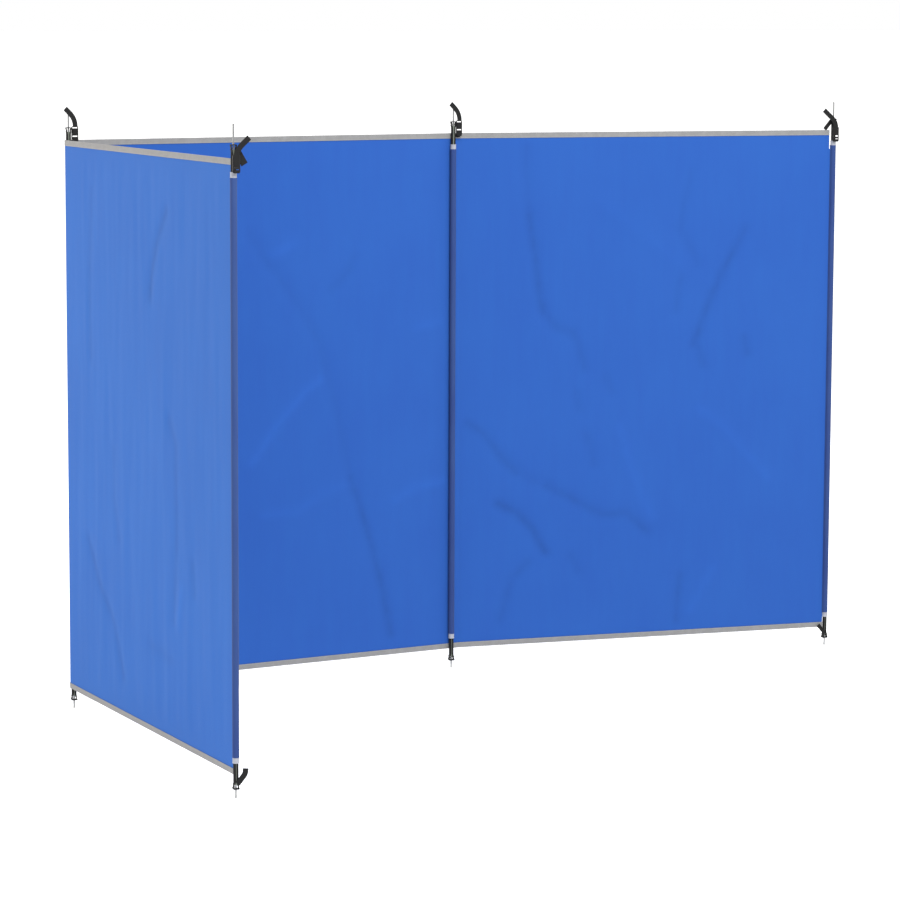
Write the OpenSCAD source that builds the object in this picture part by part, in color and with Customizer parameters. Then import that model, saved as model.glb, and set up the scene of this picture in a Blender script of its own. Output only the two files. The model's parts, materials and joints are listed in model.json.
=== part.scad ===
// Beach windbreak: three bays of cloth on four push-in poles.
// Bay "left" folds about the corner pole, bay "right" folds beside the middle pole.
// The origin is the tip of the middle pole's ground pin, +X runs along the centre bay
// from the corner pole to the middle pole, and -Y is the sheltered side.

/* [Bays] */
// Distance between the poles of one bay, centre to centre
bay_w = 1215; // [900:5:1500]
// Height of the cloth, with its edge tapes
cloth_h = 1520; // [1000:10:1800]
// Thickness of the cloth
cloth_t = 1.6; // [1.2:0.1:2.4]
// Angle between the left bay and the centre bay, on the sheltered side
corner_angle = 94.5; // [60:0.5:170]
// Angle by which the right bay turns in from the line of the centre bay
wing_turn = 12; // [0:0.5:40]
// Furthest angle by which the right bay may turn in
wing_turn_max = 45; // [45:1:60]

/* [Edge tapes] */
// Width of the tape that binds the top and bottom edges
tape_w = 15.5; // [10:0.5:25]
// Thickness of the tape on each face of the cloth
tape_t = 0.8; // [0.5:0.1:1.2]

/* [Poles and pins] */
// Diameter of a pole
pole_d = 10; // [8:0.5:14]
// Length of pole past the cloth's top edge, and past its bottom edge
pole_over = 22; // [18:1:40]
// Diameter of the free part of a pin
pin_d = 4.5; // [3.5:0.1:5.5]
// Diameter of the pin's shank, in the pole and through the webbing
shank_d = 4; // [3:0.1:5]
// Depth of the shank in the pole's end
shank_h = 25; // [15:1:40]
// Free height of a top pin above its webbing loop
top_pin_h = 49.5; // [30:0.5:80]
// Free length of a ground pin below its webbing loop
ground_pin_h = 22.5; // [15:0.5:60]
// Chamfer on a pin's tip
tip_chamfer = 0.8; // [0.4:0.1:1.2]

/* [Pole sleeves] */
// Wall of the fabric sleeve
sleeve_t = 1.6; // [1:0.1:2.5]
// Distance from the cloth's edge to the sleeve's end band
band_inset = 32; // [26:1:60]
// Height of an end band
band_h = 16; // [8:1:30]
// How far an end band stands proud of the sleeve
band_proud = 0.4; // [0.2:0.1:1]
// Distance from an end pole's centre to the end of the tapes beside it
hem_gap = 12.8; // [11:0.1:20]

/* [Webbing] */
// Width of the webbing
web_w = 15; // [12:0.5:20]
// Thickness of the webbing
web_t = 1.8; // [1.2:0.1:2]
// Distance from the pole's end to the outside of the webbing loop
loop_over = 12.5; // [11:0.5:20]
// Outer width of the loop across its fold
loop_w = 15; // [14:0.5:20]
// Width of a short free end of webbing
end_w = 12; // [10:0.5:13]

/* [Buckles] */
// Width of a buckle
buckle_w = 19.5; // [18:0.5:26]
// Height of a buckle
buckle_h = 43; // [43:1:50]
// Thickness of a buckle
buckle_t = 3.2; // [2.4:0.2:4]
// Side walls of a buckle beside its slots
buckle_rim = 2; // [1.5:0.1:2]
// Distance from the pole's centre to a side buckle's centre
side_buckle_x = 18.5; // [18.5:0.5:26]
// Distance from an end pole's centre to its buckle's centre
end_buckle_x = 3; // [0:0.5:6]
// How far a side buckle reaches below the cloth's top edge
side_buckle_drop = 6; // [4:0.5:10]
// How far an end pole's buckle reaches below the cloth's top edge
end_buckle_drop = 34; // [33:0.5:40]

/* [Hidden] */
slack = 0.05;          // clearance of a push fit
soft_gap = 0.3;        // clearance between soft pieces that move past each other
fold_gap = 0.75;       // from the wing's fold line to the tape's outer face
edge_gap = 1;          // from a cloth's end to the line where it leaves the pole
buckle_clear = 1.75;   // from a side buckle to the wing's fold line
bevel_spare = 12;      // angle left between the bevelled ends at the wing's inner limit

$fn = 48;

// Radii of what sits round a pole, from the inside out
pole_r = pole_d / 2;
shank_r = shank_d / 2;
pin_r = pin_d / 2;
leg_in_r = pole_r + slack;
leg_out_r = leg_in_r + web_t;
sleeve_in_r = leg_out_r + slack;
sleeve_r = sleeve_in_r + sleeve_t;
band_r = sleeve_r + band_proud;

// Heights, from the ground pin's tip up
pole_bottom = ground_pin_h + loop_over;
cloth_bottom = pole_bottom + pole_over;
cloth_top = cloth_bottom + cloth_h;
pole_top = cloth_top + pole_over;
loop_top = pole_top + loop_over;
pole_h = pole_top - pole_bottom;

// Plan distances of the cloths from the poles' centres
tape_out = cloth_t / 2 + tape_t;
centre_y = band_r + cloth_t / 2;
left_y = centre_y + soft_gap;
wing_x = side_buckle_x + buckle_w / 2 + buckle_clear;
wing_y = centre_y + tape_out + fold_gap;
right_y = tape_out + fold_gap;
wing_l = bay_w - wing_x;
fold_bevel = wing_turn_max / 2 + bevel_spare;

// Colours
cloth_blue = [0.24, 0.42, 0.78];
sleeve_blue = [0.24, 0.34, 0.58];
tape_grey = [0.66, 0.67, 0.67];
band_grey = [0.74, 0.76, 0.82];
webbing_black = [0.09, 0.09, 0.1];
buckle_black = [0.05, 0.05, 0.06];
pole_grey = [0.42, 0.44, 0.42];
pin_steel = [0.7, 0.7, 0.7];

// ---- Helpers -------------------------------------------------------------

function unit(v) = v / norm(v);
function left_of(v) = [-v[1], v[0]];
// Normal of a polyline at point i, as long as a mitre of thickness 1 needs
function mitre(path, i) =
    let (last = len(path) - 1,
         a = left_of(unit(path[max(i, 1)] - path[max(i, 1) - 1])),
         b = left_of(unit(path[min(i, last - 1) + 1] - path[min(i, last - 1)])),
         m = unit(a + b))
    m / (m * a);
// Points of an arc about c, from angle a0 to a1
function arc(c, r, a0, a1, steps = 10) =
    [for (k = [0 : steps]) c + r * [cos(a0 + (a1 - a0) * k / steps), sin(a0 + (a1 - a0) * k / steps)]];

// Flat outline of a polyline drawn with thickness t
module ribbon(path, t) {
    last = len(path) - 1;
    polygon(concat(
        [for (i = [0 : last]) path[i] + mitre(path, i) * t / 2],
        [for (i = [last : -1 : 0]) path[i] - mitre(path, i) * t / 2]));
}

// Stands a flat shape up in the XZ plane, from y0 to y0 + t
module upright(y0, t) {
    translate([0, y0 + t, 0]) rotate([90, 0, 0]) linear_extrude(height = t) children();
}

// Stands a flat shape up in the YZ plane, w wide and centred on x
module crosswise(x, w) {
    translate([x - w / 2, 0, 0]) rotate([90, 0, 90]) linear_extrude(height = w) children();
}

// Places of the two swinging bays and of the four poles
module on_left_bay() {
    translate([-bay_w, 0, 0]) rotate([0, 0, -corner_angle]) children();
}
module on_right_bay() {
    translate([wing_x, wing_y, 0]) rotate([0, 0, -wing_turn]) children();
}
module at_left_pole() {
    on_left_bay() translate([bay_w, -left_y, 0]) rotate([0, 0, 90]) children();
}
module at_corner_pole() {
    translate([-bay_w, 0, 0]) children();
}
module at_right_pole() {
    on_right_bay() translate([wing_l, -right_y, 0]) children();
}

// ---- Cloth and tapes -----------------------------------------------------

// Plan region on one side of the wing's fold line; side is -1 before it and 1 after it
module wing_side(side) {
    reach = 2 * bay_w;
    lean = 4 * (wing_y + wing_l);
    polygon([[0, 0], [side * lean * sin(fold_bevel), -lean * cos(fold_bevel)],
        [side * reach, -lean], [side * reach, 0]]);
}

// Plan outlines of the three bays' cloths or tapes, half as thick as half_t says
module left_plan(half_t, end) {
    translate([edge_gap, -left_y - half_t]) square([bay_w - end - edge_gap, 2 * half_t]);
}
module centre_plan(half_t) {
    intersection() {
        translate([-bay_w + edge_gap, centre_y - half_t]) square([bay_w + wing_x - edge_gap, 2 * half_t]);
        translate([wing_x, wing_y]) wing_side(-1);
    }
}
module right_plan(half_t, end) {
    intersection() {
        translate([0, -right_y - half_t]) square([wing_l - end, 2 * half_t]);
        wing_side(1);
    }
}

// One cloth: its full height inside the tapes, and the hem that meets an end pole's sleeve
module cloth_body() {
    translate([0, 0, cloth_bottom + tape_t]) linear_extrude(height = cloth_h - 2 * tape_t) children();
}
module hem_body() {
    hem_inset = band_inset + band_h;
    translate([0, 0, cloth_bottom + hem_inset]) linear_extrude(height = cloth_h - 2 * hem_inset) children();
}
module hem_plan(bay_end, y) {
    translate([bay_end - hem_gap - edge_gap, y - cloth_t / 2])
        square([hem_gap + edge_gap - sleeve_r, cloth_t]);
}

module cloth_left() {
    color(cloth_blue) on_left_bay() {
        cloth_body() left_plan(cloth_t / 2, hem_gap);
        hem_body() hem_plan(bay_w, -left_y);
    }
}
module cloth_centre() {
    color(cloth_blue) cloth_body() centre_plan(cloth_t / 2);
}
module cloth_right() {
    color(cloth_blue) on_right_bay() {
        cloth_body() right_plan(cloth_t / 2, hem_gap);
        hem_body() hem_plan(wing_l, -right_y);
    }
}

// A tape folded over an edge: children are its outer plan and the cloth's plan
module top_fold() {
    difference() {
        translate([0, 0, cloth_top - tape_w]) linear_extrude(height = tape_w) children(0);
        translate([0, 0, cloth_top - tape_w - 1]) linear_extrude(height = tape_w + 1 - tape_t) children(1);
    }
}
module bottom_fold() {
    difference() {
        translate([0, 0, cloth_bottom]) linear_extrude(height = tape_w) children(0);
        translate([0, 0, cloth_bottom + tape_t]) linear_extrude(height = tape_w + 1) children(1);
    }
}

module top_tape_left() {
    color(tape_grey) on_left_bay() top_fold() {
        left_plan(tape_out, hem_gap);
        left_plan(cloth_t / 2, hem_gap);
    }
}
module top_tape_centre() {
    color(tape_grey) top_fold() {
        centre_plan(tape_out);
        centre_plan(cloth_t / 2);
    }
}
module top_tape_right() {
    color(tape_grey) on_right_bay() top_fold() {
        right_plan(tape_out, hem_gap);
        right_plan(cloth_t / 2, hem_gap);
    }
}
module bottom_tape_left() {
    color(tape_grey) on_left_bay() bottom_fold() {
        left_plan(tape_out, hem_gap);
        left_plan(cloth_t / 2, hem_gap);
    }
}
module bottom_tape_centre() {
    color(tape_grey) bottom_fold() {
        centre_plan(tape_out);
        centre_plan(cloth_t / 2);
    }
}
module bottom_tape_right() {
    color(tape_grey) on_right_bay() bottom_fold() {
        right_plan(tape_out, hem_gap);
        right_plan(cloth_t / 2, hem_gap);
    }
}

// ---- Poles, pins and sleeves ---------------------------------------------

// A pole, with a bore in each end for a pin's shank
module pole() {
    color(pole_grey) difference() {
        translate([0, 0, pole_bottom]) cylinder(h = pole_h, r = pole_r);
        translate([0, 0, pole_top - shank_h]) cylinder(h = shank_h + 1, r = shank_r + slack);
        translate([0, 0, pole_bottom - 1]) cylinder(h = shank_h + 1, r = shank_r + slack);
    }
}

// A pin that points up from z = 0, with its shank below
module pin(free_h) {
    translate([0, 0, -loop_over - shank_h]) cylinder(h = loop_over + shank_h + slack, r = shank_r);
    translate([0, 0, slack]) cylinder(h = free_h - tip_chamfer - slack, r = pin_r);
    translate([0, 0, free_h - tip_chamfer]) cylinder(h = tip_chamfer, r1 = pin_r, r2 = pin_r - tip_chamfer);
}
module top_pin() {
    color(pin_steel) translate([0, 0, loop_top]) pin(top_pin_h);
}
module ground_pin() {
    color(pin_steel) translate([0, 0, ground_pin_h]) rotate([180, 0, 0]) pin(ground_pin_h);
}

// The fabric tube round a pole, between its two end bands
module sleeve() {
    sleeve_h = cloth_h - 2 * (band_inset + band_h);
    color(sleeve_blue) translate([0, 0, cloth_bottom + band_inset + band_h]) difference() {
        cylinder(h = sleeve_h, r = sleeve_r);
        translate([0, 0, -1]) cylinder(h = sleeve_h + 2, r = sleeve_in_r);
    }
}
module sleeve_bands() {
    for (z = [cloth_bottom + band_inset, cloth_top - band_inset - band_h])
        color(band_grey) translate([0, 0, z]) difference() {
            cylinder(h = band_h, r = band_r);
            translate([0, 0, -1]) cylinder(h = band_h + 2, r = sleeve_in_r);
        }
}

// ---- Webbing loops over the poles' ends ----------------------------------

// One loop at the end of a pole that points up from z = 0. Its two legs hug the pole and run
// into the sleeve's band; above the pole it closes round the pin, opens, and folds flat.
module loop_body() {
    leg_x = pole_r + slack + web_t / 2;
    pinch_x = pin_r + 0.6 + web_t / 2;
    fold_x = loop_w / 2 - web_t / 2;
    fold_z = loop_over - web_t / 2;
    leg_h = pole_over + band_inset + band_h / 2;
    leg_span = 70;
    shoulder_z = 1;
    difference() {
        union() {
            upright(-web_w / 2, web_w) ribbon([[-leg_x, -1], [-leg_x, shoulder_z],
                [-pinch_x, shoulder_z + 3], [-fold_x, fold_z], [fold_x, fold_z],
                [pinch_x, shoulder_z + 3], [leg_x, shoulder_z], [leg_x, -1]], web_t);
            for (turn = [0, 180])
                rotate([0, 0, turn]) translate([0, 0, -leg_h]) linear_extrude(height = leg_h + shoulder_z)
                    intersection() {
                        difference() {
                            circle(r = leg_out_r);
                            circle(r = leg_in_r);
                        }
                        polygon([[0, 0], 2 * leg_out_r * [cos(leg_span), sin(leg_span)],
                            3 * leg_out_r * [1, 0], 2 * leg_out_r * [cos(leg_span), -sin(leg_span)]]);
                    }
        }
        translate([0, 0, shoulder_z]) cylinder(h = loop_over, r = shank_r + slack);
    }
}

// The loop's short free end, drawn flat along a path beside the pole
module free_end(path) {
    upright(-web_t / 2, web_t) ribbon(path, end_w);
}

// Where a free end leaves its loop, and the paths it takes from there
end_x = leg_out_r + end_w / 2 - 2.3;
top_end_path = [[end_x, 5], [end_x + 4.5, -5], [end_x + 10.5, -18]];
foot_end_left = [[end_x, 5], [end_x + 4.5, -8], [end_x + 9.5, -22], [end_x + 10.5, -38]];
foot_end_right = [[end_x, 5], [end_x + 2.5, -5], [end_x + 7.5, -15]];

module flip_x(side) {
    mirror([side < 0 ? 1 : 0, 0, 0]) children();
}
module top_loop() {
    color(webbing_black) translate([0, 0, pole_top]) loop_body();
}
module foot_loop() {
    color(webbing_black) translate([0, 0, pole_bottom]) rotate([180, 0, 0]) loop_body();
}
module top_loop_end(side) {
    color(webbing_black) translate([0, 0, pole_top]) {
        loop_body();
        flip_x(side) free_end(top_end_path);
    }
}
module foot_loop_end(side, path) {
    color(webbing_black) translate([0, 0, pole_bottom]) rotate([180, 0, 0]) {
        loop_body();
        flip_x(side) free_end(path);
    }
}

// ---- Buckles and tension straps ------------------------------------------

// Slots of a buckle, as [foot, height] above its lower edge
lower_slot = [4, 4.5];
main_slot = [14, 6];
top_slot = [37.5, 3.5];

// A ladder buckle standing in the XZ plane on z = 0, with its front face on y = 0
module buckle() {
    corner_r = 3;
    slot_w = buckle_w - 2 * buckle_rim;
    color(buckle_black) upright(0, buckle_t) difference() {
        union() {
            translate([-buckle_w / 2, corner_r]) square([buckle_w, buckle_h - 2 * corner_r]);
            translate([-buckle_w / 2 + corner_r, 0]) square([buckle_w - 2 * corner_r, buckle_h]);
            for (x = [-1, 1], z = [corner_r, buckle_h - corner_r])
                translate([x * (buckle_w / 2 - corner_r), z]) circle(r = corner_r);
        }
        for (slot = [lower_slot, main_slot, top_slot])
            translate([-slot_w / 2, slot[0]]) square([slot_w, slot[1]]);
    }
}

// The tail that lies on a buckle's front face and curves away to its side
module strap_tail(side, rise, r, turn, run) {
    start = [0, main_slot[0] + main_slot[1]];
    bend = arc([-r, start[1] + rise], r, 0, turn);
    tip = bend[len(bend) - 1] + run * [-sin(turn), cos(turn)];
    mirror([side > 0 ? 1 : 0, 0, 0]) upright(-web_t, web_t)
        ribbon(concat([start], bend, run > 0 ? [tip] : []), web_w - 1);
}

// Side fittings stand beside the pole, in front of the centre bay's tape
side_front_y = -pin_r - 0.55;
side_foot_z = cloth_top - side_buckle_drop;
module side_buckle() {
    translate([side_buckle_x, side_front_y, side_foot_z]) buckle();
}
module side_strap() {
    tape_y = centre_y - tape_out - web_t / 2;
    front_y = side_front_y - web_t / 2;
    under_z = side_foot_z - web_t / 2 - slack;
    slot_z = side_foot_z + lower_slot[0] + lower_slot[1] / 2;
    color(webbing_black) {
        translate([side_buckle_x, side_front_y, side_foot_z]) strap_tail(-1, 2, 86, 49, 0);
        crosswise(side_buckle_x, web_w) ribbon([[tape_y, cloth_top - 1], [tape_y, under_z],
            [front_y, under_z], [front_y, slot_z], [side_front_y + buckle_t + 1, slot_z]], web_t);
    }
}

// End fittings stand in front of the pole, on the webbing that leaves the sleeve
end_back_y = -band_r - 0.6;
end_foot_z = cloth_top - end_buckle_drop;
module end_buckle() {
    translate([end_buckle_x, end_back_y - buckle_t, end_foot_z]) buckle();
}
module end_strap(side) {
    rise_y = end_back_y + slack + web_t / 2;
    front_y = end_back_y - buckle_t - web_t / 2;
    slot_z = end_foot_z + lower_slot[0] + lower_slot[1] / 2;
    color(webbing_black) {
        translate([end_buckle_x, end_back_y - buckle_t, end_foot_z]) strap_tail(side, 25, 32, 45, 26);
        crosswise(end_buckle_x, web_w) ribbon([[rise_y, cloth_top - band_inset],
            [rise_y, slot_z], [front_y, slot_z], [front_y, end_foot_z]], web_t);
    }
}

// ---- The four poles' pieces ----------------------------------------------

module pole_left() { at_left_pole() pole(); }
module pole_corner() { at_corner_pole() pole(); }
module pole_middle() { pole(); }
module pole_right() { at_right_pole() pole(); }

module top_pin_left() { at_left_pole() top_pin(); }
module top_pin_corner() { at_corner_pole() top_pin(); }
module top_pin_middle() { top_pin(); }
module top_pin_right() { at_right_pole() top_pin(); }

module ground_pin_left() { at_left_pole() ground_pin(); }
module ground_pin_corner() { at_corner_pole() ground_pin(); }
module ground_pin_middle() { ground_pin(); }
module ground_pin_right() { at_right_pole() ground_pin(); }

module sleeve_left() { at_left_pole() sleeve(); }
module sleeve_corner() { at_corner_pole() sleeve(); }
module sleeve_middle() { sleeve(); }
module sleeve_right() { at_right_pole() sleeve(); }

module sleeve_bands_left() { at_left_pole() sleeve_bands(); }
module sleeve_bands_corner() { at_corner_pole() sleeve_bands(); }
module sleeve_bands_middle() { sleeve_bands(); }
module sleeve_bands_right() { at_right_pole() sleeve_bands(); }

module top_loop_left() { at_left_pole() top_loop_end(1); }
module top_loop_corner() { at_corner_pole() top_loop(); }
module top_loop_middle() { top_loop(); }
module top_loop_right() { at_right_pole() top_loop_end(-1); }

module foot_loop_left() { at_left_pole() foot_loop_end(1, foot_end_left); }
module foot_loop_corner() { at_corner_pole() foot_loop(); }
module foot_loop_middle() { foot_loop(); }
module foot_loop_right() { at_right_pole() foot_loop_end(-1, foot_end_right); }

module buckle_left() { at_left_pole() end_buckle(); }
module buckle_corner() { at_corner_pole() side_buckle(); }
module buckle_middle() { side_buckle(); }
module buckle_right() { at_right_pole() end_buckle(); }

module tension_strap_left() { at_left_pole() end_strap(1); }
module tension_strap_corner() { at_corner_pole() side_strap(); }
module tension_strap_middle() { side_strap(); }
module tension_strap_right() { at_right_pole() end_strap(-1); }

cloth_left();
cloth_centre();
cloth_right();
top_tape_left();
top_tape_centre();
top_tape_right();
bottom_tape_left();
bottom_tape_centre();
bottom_tape_right();
pole_left();
pole_corner();
pole_middle();
pole_right();
top_pin_left();
top_pin_corner();
top_pin_middle();
top_pin_right();
ground_pin_left();
ground_pin_corner();
ground_pin_middle();
ground_pin_right();
sleeve_left();
sleeve_corner();
sleeve_middle();
sleeve_right();
sleeve_bands_left();
sleeve_bands_corner();
sleeve_bands_middle();
sleeve_bands_right();
top_loop_left();
top_loop_corner();
top_loop_middle();
top_loop_right();
foot_loop_left();
foot_loop_corner();
foot_loop_middle();
foot_loop_right();
buckle_left();
buckle_corner();
buckle_middle();
buckle_right();
tension_strap_left();
tension_strap_corner();
tension_strap_middle();
tension_strap_right();
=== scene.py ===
"""Looks of a beach windbreak: three bays of cloth on four poles, built round the fixed frame."""

import json
import logging
import math
from collections.abc import Callable, Sequence
from dataclasses import dataclass, replace
from enum import Enum

import bmesh
import bpy
from mathutils import Matrix, Vector

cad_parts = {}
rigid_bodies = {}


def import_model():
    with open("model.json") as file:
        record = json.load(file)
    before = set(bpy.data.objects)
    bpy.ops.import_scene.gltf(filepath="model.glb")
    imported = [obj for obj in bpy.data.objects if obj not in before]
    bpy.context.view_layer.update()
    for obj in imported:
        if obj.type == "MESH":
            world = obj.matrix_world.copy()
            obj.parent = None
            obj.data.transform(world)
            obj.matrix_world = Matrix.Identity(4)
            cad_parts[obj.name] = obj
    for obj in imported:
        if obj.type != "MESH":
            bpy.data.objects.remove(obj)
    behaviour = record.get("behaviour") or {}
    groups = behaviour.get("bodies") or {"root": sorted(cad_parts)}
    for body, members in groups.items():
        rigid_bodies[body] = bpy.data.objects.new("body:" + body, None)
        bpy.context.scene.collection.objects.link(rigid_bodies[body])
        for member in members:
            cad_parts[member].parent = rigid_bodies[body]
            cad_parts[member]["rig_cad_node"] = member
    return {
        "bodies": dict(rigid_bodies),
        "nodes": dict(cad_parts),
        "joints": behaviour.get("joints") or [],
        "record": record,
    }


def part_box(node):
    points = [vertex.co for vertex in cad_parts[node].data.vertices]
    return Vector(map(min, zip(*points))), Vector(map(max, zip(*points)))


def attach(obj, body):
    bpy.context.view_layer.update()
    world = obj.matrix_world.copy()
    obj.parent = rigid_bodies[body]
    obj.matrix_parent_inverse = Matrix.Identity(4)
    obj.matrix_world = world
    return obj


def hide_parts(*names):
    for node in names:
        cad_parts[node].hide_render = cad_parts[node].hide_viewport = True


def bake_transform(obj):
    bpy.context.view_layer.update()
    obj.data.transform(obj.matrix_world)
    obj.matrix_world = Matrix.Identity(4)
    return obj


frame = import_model()

MM = 0.001
CLOSE = 0.1 * MM  # places that are nearer than this are the same
LOG = logging.getLogger("windbreak")
Colour = tuple[float, float, float, float]
Test = Callable[[Vector], bool]


# ---- Bench: meshes shaped with edit-mode operators ------------------------


class Shape:
    """A mesh on the bench, shaped with operators as by hand."""

    def __init__(self, thing: bpy.types.Object) -> None:
        """Take a mesh object that was just added.

        Args:
            thing: the mesh object.
        """
        self.thing = thing

    @classmethod
    def grid(cls, name: str, width: float, height: float, columns: int, rows: int) -> "Shape":
        """Add a flat grid that stands on z = 0, faces -Y and is centred on x = 0.

        Args:
            name: the object's name.
            width: size along X.
            height: size along Z.
            columns: number of faces across.
            rows: number of faces upward.

        Returns:
            The new shape, with a UV map in metres.
        """
        bpy.ops.object.select_all(action="DESELECT")
        bpy.ops.mesh.primitive_grid_add(
            x_subdivisions=columns, y_subdivisions=rows, size=1, rotation=(math.pi / 2, 0, 0))
        thing = bpy.context.object
        thing.scale = (width, height, 1)
        thing.location = (0, 0, height / 2)
        bpy.ops.object.transform_apply(location=True, rotation=True, scale=True)
        thing.name = thing.data.name = name
        shape = cls(thing)
        shape.scale_uv(width, height)
        return shape

    @classmethod
    def tube(cls, name: str, radius: float, low: float, high: float, sides: int) -> "Shape":
        """Add an open upright tube round the Z axis.

        Args:
            name: the object's name.
            radius: the tube's radius.
            low: height of its lower end.
            high: height of its upper end.
            sides: number of faces round it.

        Returns:
            The new shape.
        """
        bpy.ops.object.select_all(action="DESELECT")
        bpy.ops.mesh.primitive_cylinder_add(
            vertices=sides, radius=radius, depth=high - low, end_fill_type="NOTHING",
            location=(0, 0, (low + high) / 2))
        thing = bpy.context.object
        bpy.ops.object.transform_apply(location=True, rotation=True, scale=True)
        thing.name = thing.data.name = name
        return cls(thing)

    def scale_uv(self, across: float, along: float) -> None:
        """Stretch the UV map, so that one unit of it is a metre of the surface."""
        for corner in self.thing.data.uv_layers.active.data:
            corner.uv = (corner.uv[0] * across, corner.uv[1] * along)

    def map_uv(self, chart: Callable[[Vector], tuple[float, float]]) -> "Shape":
        """Set the UV map from the vertices' places.

        Args:
            chart: gives the two directions on the flat cloth, in metres, for a place.

        Returns:
            This shape.
        """
        self._mode("OBJECT")
        mesh = self.thing.data
        layer = mesh.uv_layers.active or mesh.uv_layers.new(name="UVMap")
        for corner in mesh.loops:
            layer.data[corner.index].uv = chart(mesh.vertices[corner.vertex_index].co)
        return self

    def mark(self, name: str, amount: Callable[[Vector], float]) -> "Shape":
        """Store a number at every vertex for the material to read.

        Args:
            name: the attribute's name.
            amount: gives the number for a place.

        Returns:
            This shape.
        """
        self._mode("OBJECT")
        mesh = self.thing.data
        values = mesh.attributes.new(name, "FLOAT", "POINT")
        for vert in mesh.vertices:
            values.data[vert.index].value = amount(vert.co)
        return self

    def _mode(self, mode: str) -> None:
        """Make this the active object and enter a mode.

        Args:
            mode: the mode's name.
        """
        if bpy.context.object is not self.thing:
            if bpy.context.object and bpy.context.object.mode != "OBJECT":
                bpy.ops.object.mode_set(mode="OBJECT")
            bpy.ops.object.select_all(action="DESELECT")
            bpy.context.view_layer.objects.active = self.thing
        self.thing.select_set(True)
        if self.thing.mode != mode:
            bpy.ops.object.mode_set(mode=mode)

    def _start_choice(self, kind: str) -> bmesh.types.BMesh:
        """Enter edit mode with nothing selected.

        Args:
            kind: what is selected next: VERT, EDGE or FACE.

        Returns:
            The mesh in edit mode.
        """
        self._mode("EDIT")
        bpy.ops.mesh.select_mode(type=kind)
        bpy.ops.mesh.select_all(action="DESELECT")
        work = bmesh.from_edit_mesh(self.thing.data)
        work.verts.ensure_lookup_table()
        return work

    def pick(self, test: Test) -> "Shape":
        """Select the vertices at places that pass a test, with what lies between them.

        Args:
            test: says of a vertex's place whether it is wanted.

        Returns:
            This shape.
        """
        work = self._start_choice("VERT")
        for vert in work.verts:
            if test(vert.co):
                vert.select_set(True)
        work.select_flush(True)
        bmesh.update_edit_mesh(self.thing.data)
        return self

    def pick_part(self, rows: Sequence[int], columns: Sequence[int], across: int) -> "Shape":
        """Select vertices of an untouched grid by the numbers of their rows and columns.

        Args:
            rows: row numbers, from the lower edge.
            columns: column numbers, from the low X side.
            across: the number of vertices in a row.

        Returns:
            This shape.
        """
        work = self._start_choice("VERT")
        for row in rows:
            for column in columns:
                work.verts[row * across + column].select_set(True)
        work.select_flush(True)
        bmesh.update_edit_mesh(self.thing.data)
        return self

    def pick_faces(self, test: Test) -> "Shape":
        """Select the faces whose centre passes a test.

        Args:
            test: says of a face's centre whether it is wanted.

        Returns:
            This shape.
        """
        for face in self._start_choice("FACE").faces:
            if test(face.calc_center_median()):
                face.select_set(True)
        bmesh.update_edit_mesh(self.thing.data)
        return self

    def pick_edges(self, test: Callable[[Vector, Vector], bool]) -> "Shape":
        """Select the edges whose two ends pass a test.

        Args:
            test: says of the places of an edge's ends whether it is wanted.

        Returns:
            This shape.
        """
        for edge in self._start_choice("EDGE").edges:
            if test(edge.verts[0].co, edge.verts[1].co):
                edge.select_set(True)
        bmesh.update_edit_mesh(self.thing.data)
        return self

    def centre(self) -> Vector:
        """Find the middle of what is selected.

        Returns:
            The mean of the selected vertices' places.
        """
        work = bmesh.from_edit_mesh(self.thing.data)
        places = [vert.co for vert in work.verts if vert.select]
        return sum(places, Vector()) / len(places)

    def move(self, offset: Sequence[float], reach: float = 0) -> "Shape":
        """Move what is selected, and what lies within reach of it less and less."""
        bpy.ops.transform.translate(
            value=tuple(offset), use_proportional_edit=reach > 0,
            proportional_edit_falloff="SMOOTH", proportional_size=max(reach, MM))
        return self

    def resize(self, factors: Sequence[float], about: Sequence[float], reach: float = 0) -> "Shape":
        """Scale what is selected about a point, and what lies within reach less and less."""
        bpy.ops.transform.resize(
            value=tuple(factors), center_override=tuple(about), use_proportional_edit=reach > 0,
            proportional_edit_falloff="SMOOTH", proportional_size=max(reach, MM))
        return self

    def turn(self, angle: float, axis: str, about: Sequence[float]) -> "Shape":
        """Turn what is selected about a point, by the right-hand rule."""
        bpy.ops.transform.rotate(value=-angle, orient_axis=axis, center_override=tuple(about))
        return self

    def extrude(self, offset: Sequence[float]) -> "Shape":
        """Extrude what is selected by an offset."""
        bpy.ops.mesh.extrude_region_move(TRANSFORM_OT_translate={"value": tuple(offset)})
        return self

    def extrude_edge(self, offset: Sequence[float]) -> "Shape":
        """Extrude the selected border of an open surface by an offset."""
        bpy.ops.mesh.extrude_edges_move(TRANSFORM_OT_translate={"value": tuple(offset)})
        return self

    def spin(self, angle: float, steps: int, about: Sequence[float], axis: Sequence[float]) -> "Shape":
        """Extrude what is selected round an axis, by the right-hand rule."""
        bpy.ops.mesh.spin(steps=steps, angle=-angle, center=tuple(about), axis=tuple(axis))
        return self

    def cut(self, place: Sequence[float], normal: Sequence[float]) -> "Shape":
        """Cut the whole mesh along a plane, keeping both sides.

        Args:
            place: a point of the plane.
            normal: the plane's normal.

        Returns:
            This shape.
        """
        self._mode("EDIT")
        bpy.ops.mesh.select_all(action="SELECT")
        bpy.ops.mesh.bisect(plane_co=tuple(place), plane_no=tuple(normal))
        return self

    def round_corners(self, radius: float, segments: int) -> "Shape":
        """Round the selected corners of a flat plate."""
        bpy.ops.mesh.bevel(offset=radius, offset_type="OFFSET", segments=segments, affect="VERTICES")
        return self

    def delete_faces(self) -> "Shape":
        """Delete the selected faces."""
        bpy.ops.mesh.delete(type="FACE")
        return self

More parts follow.
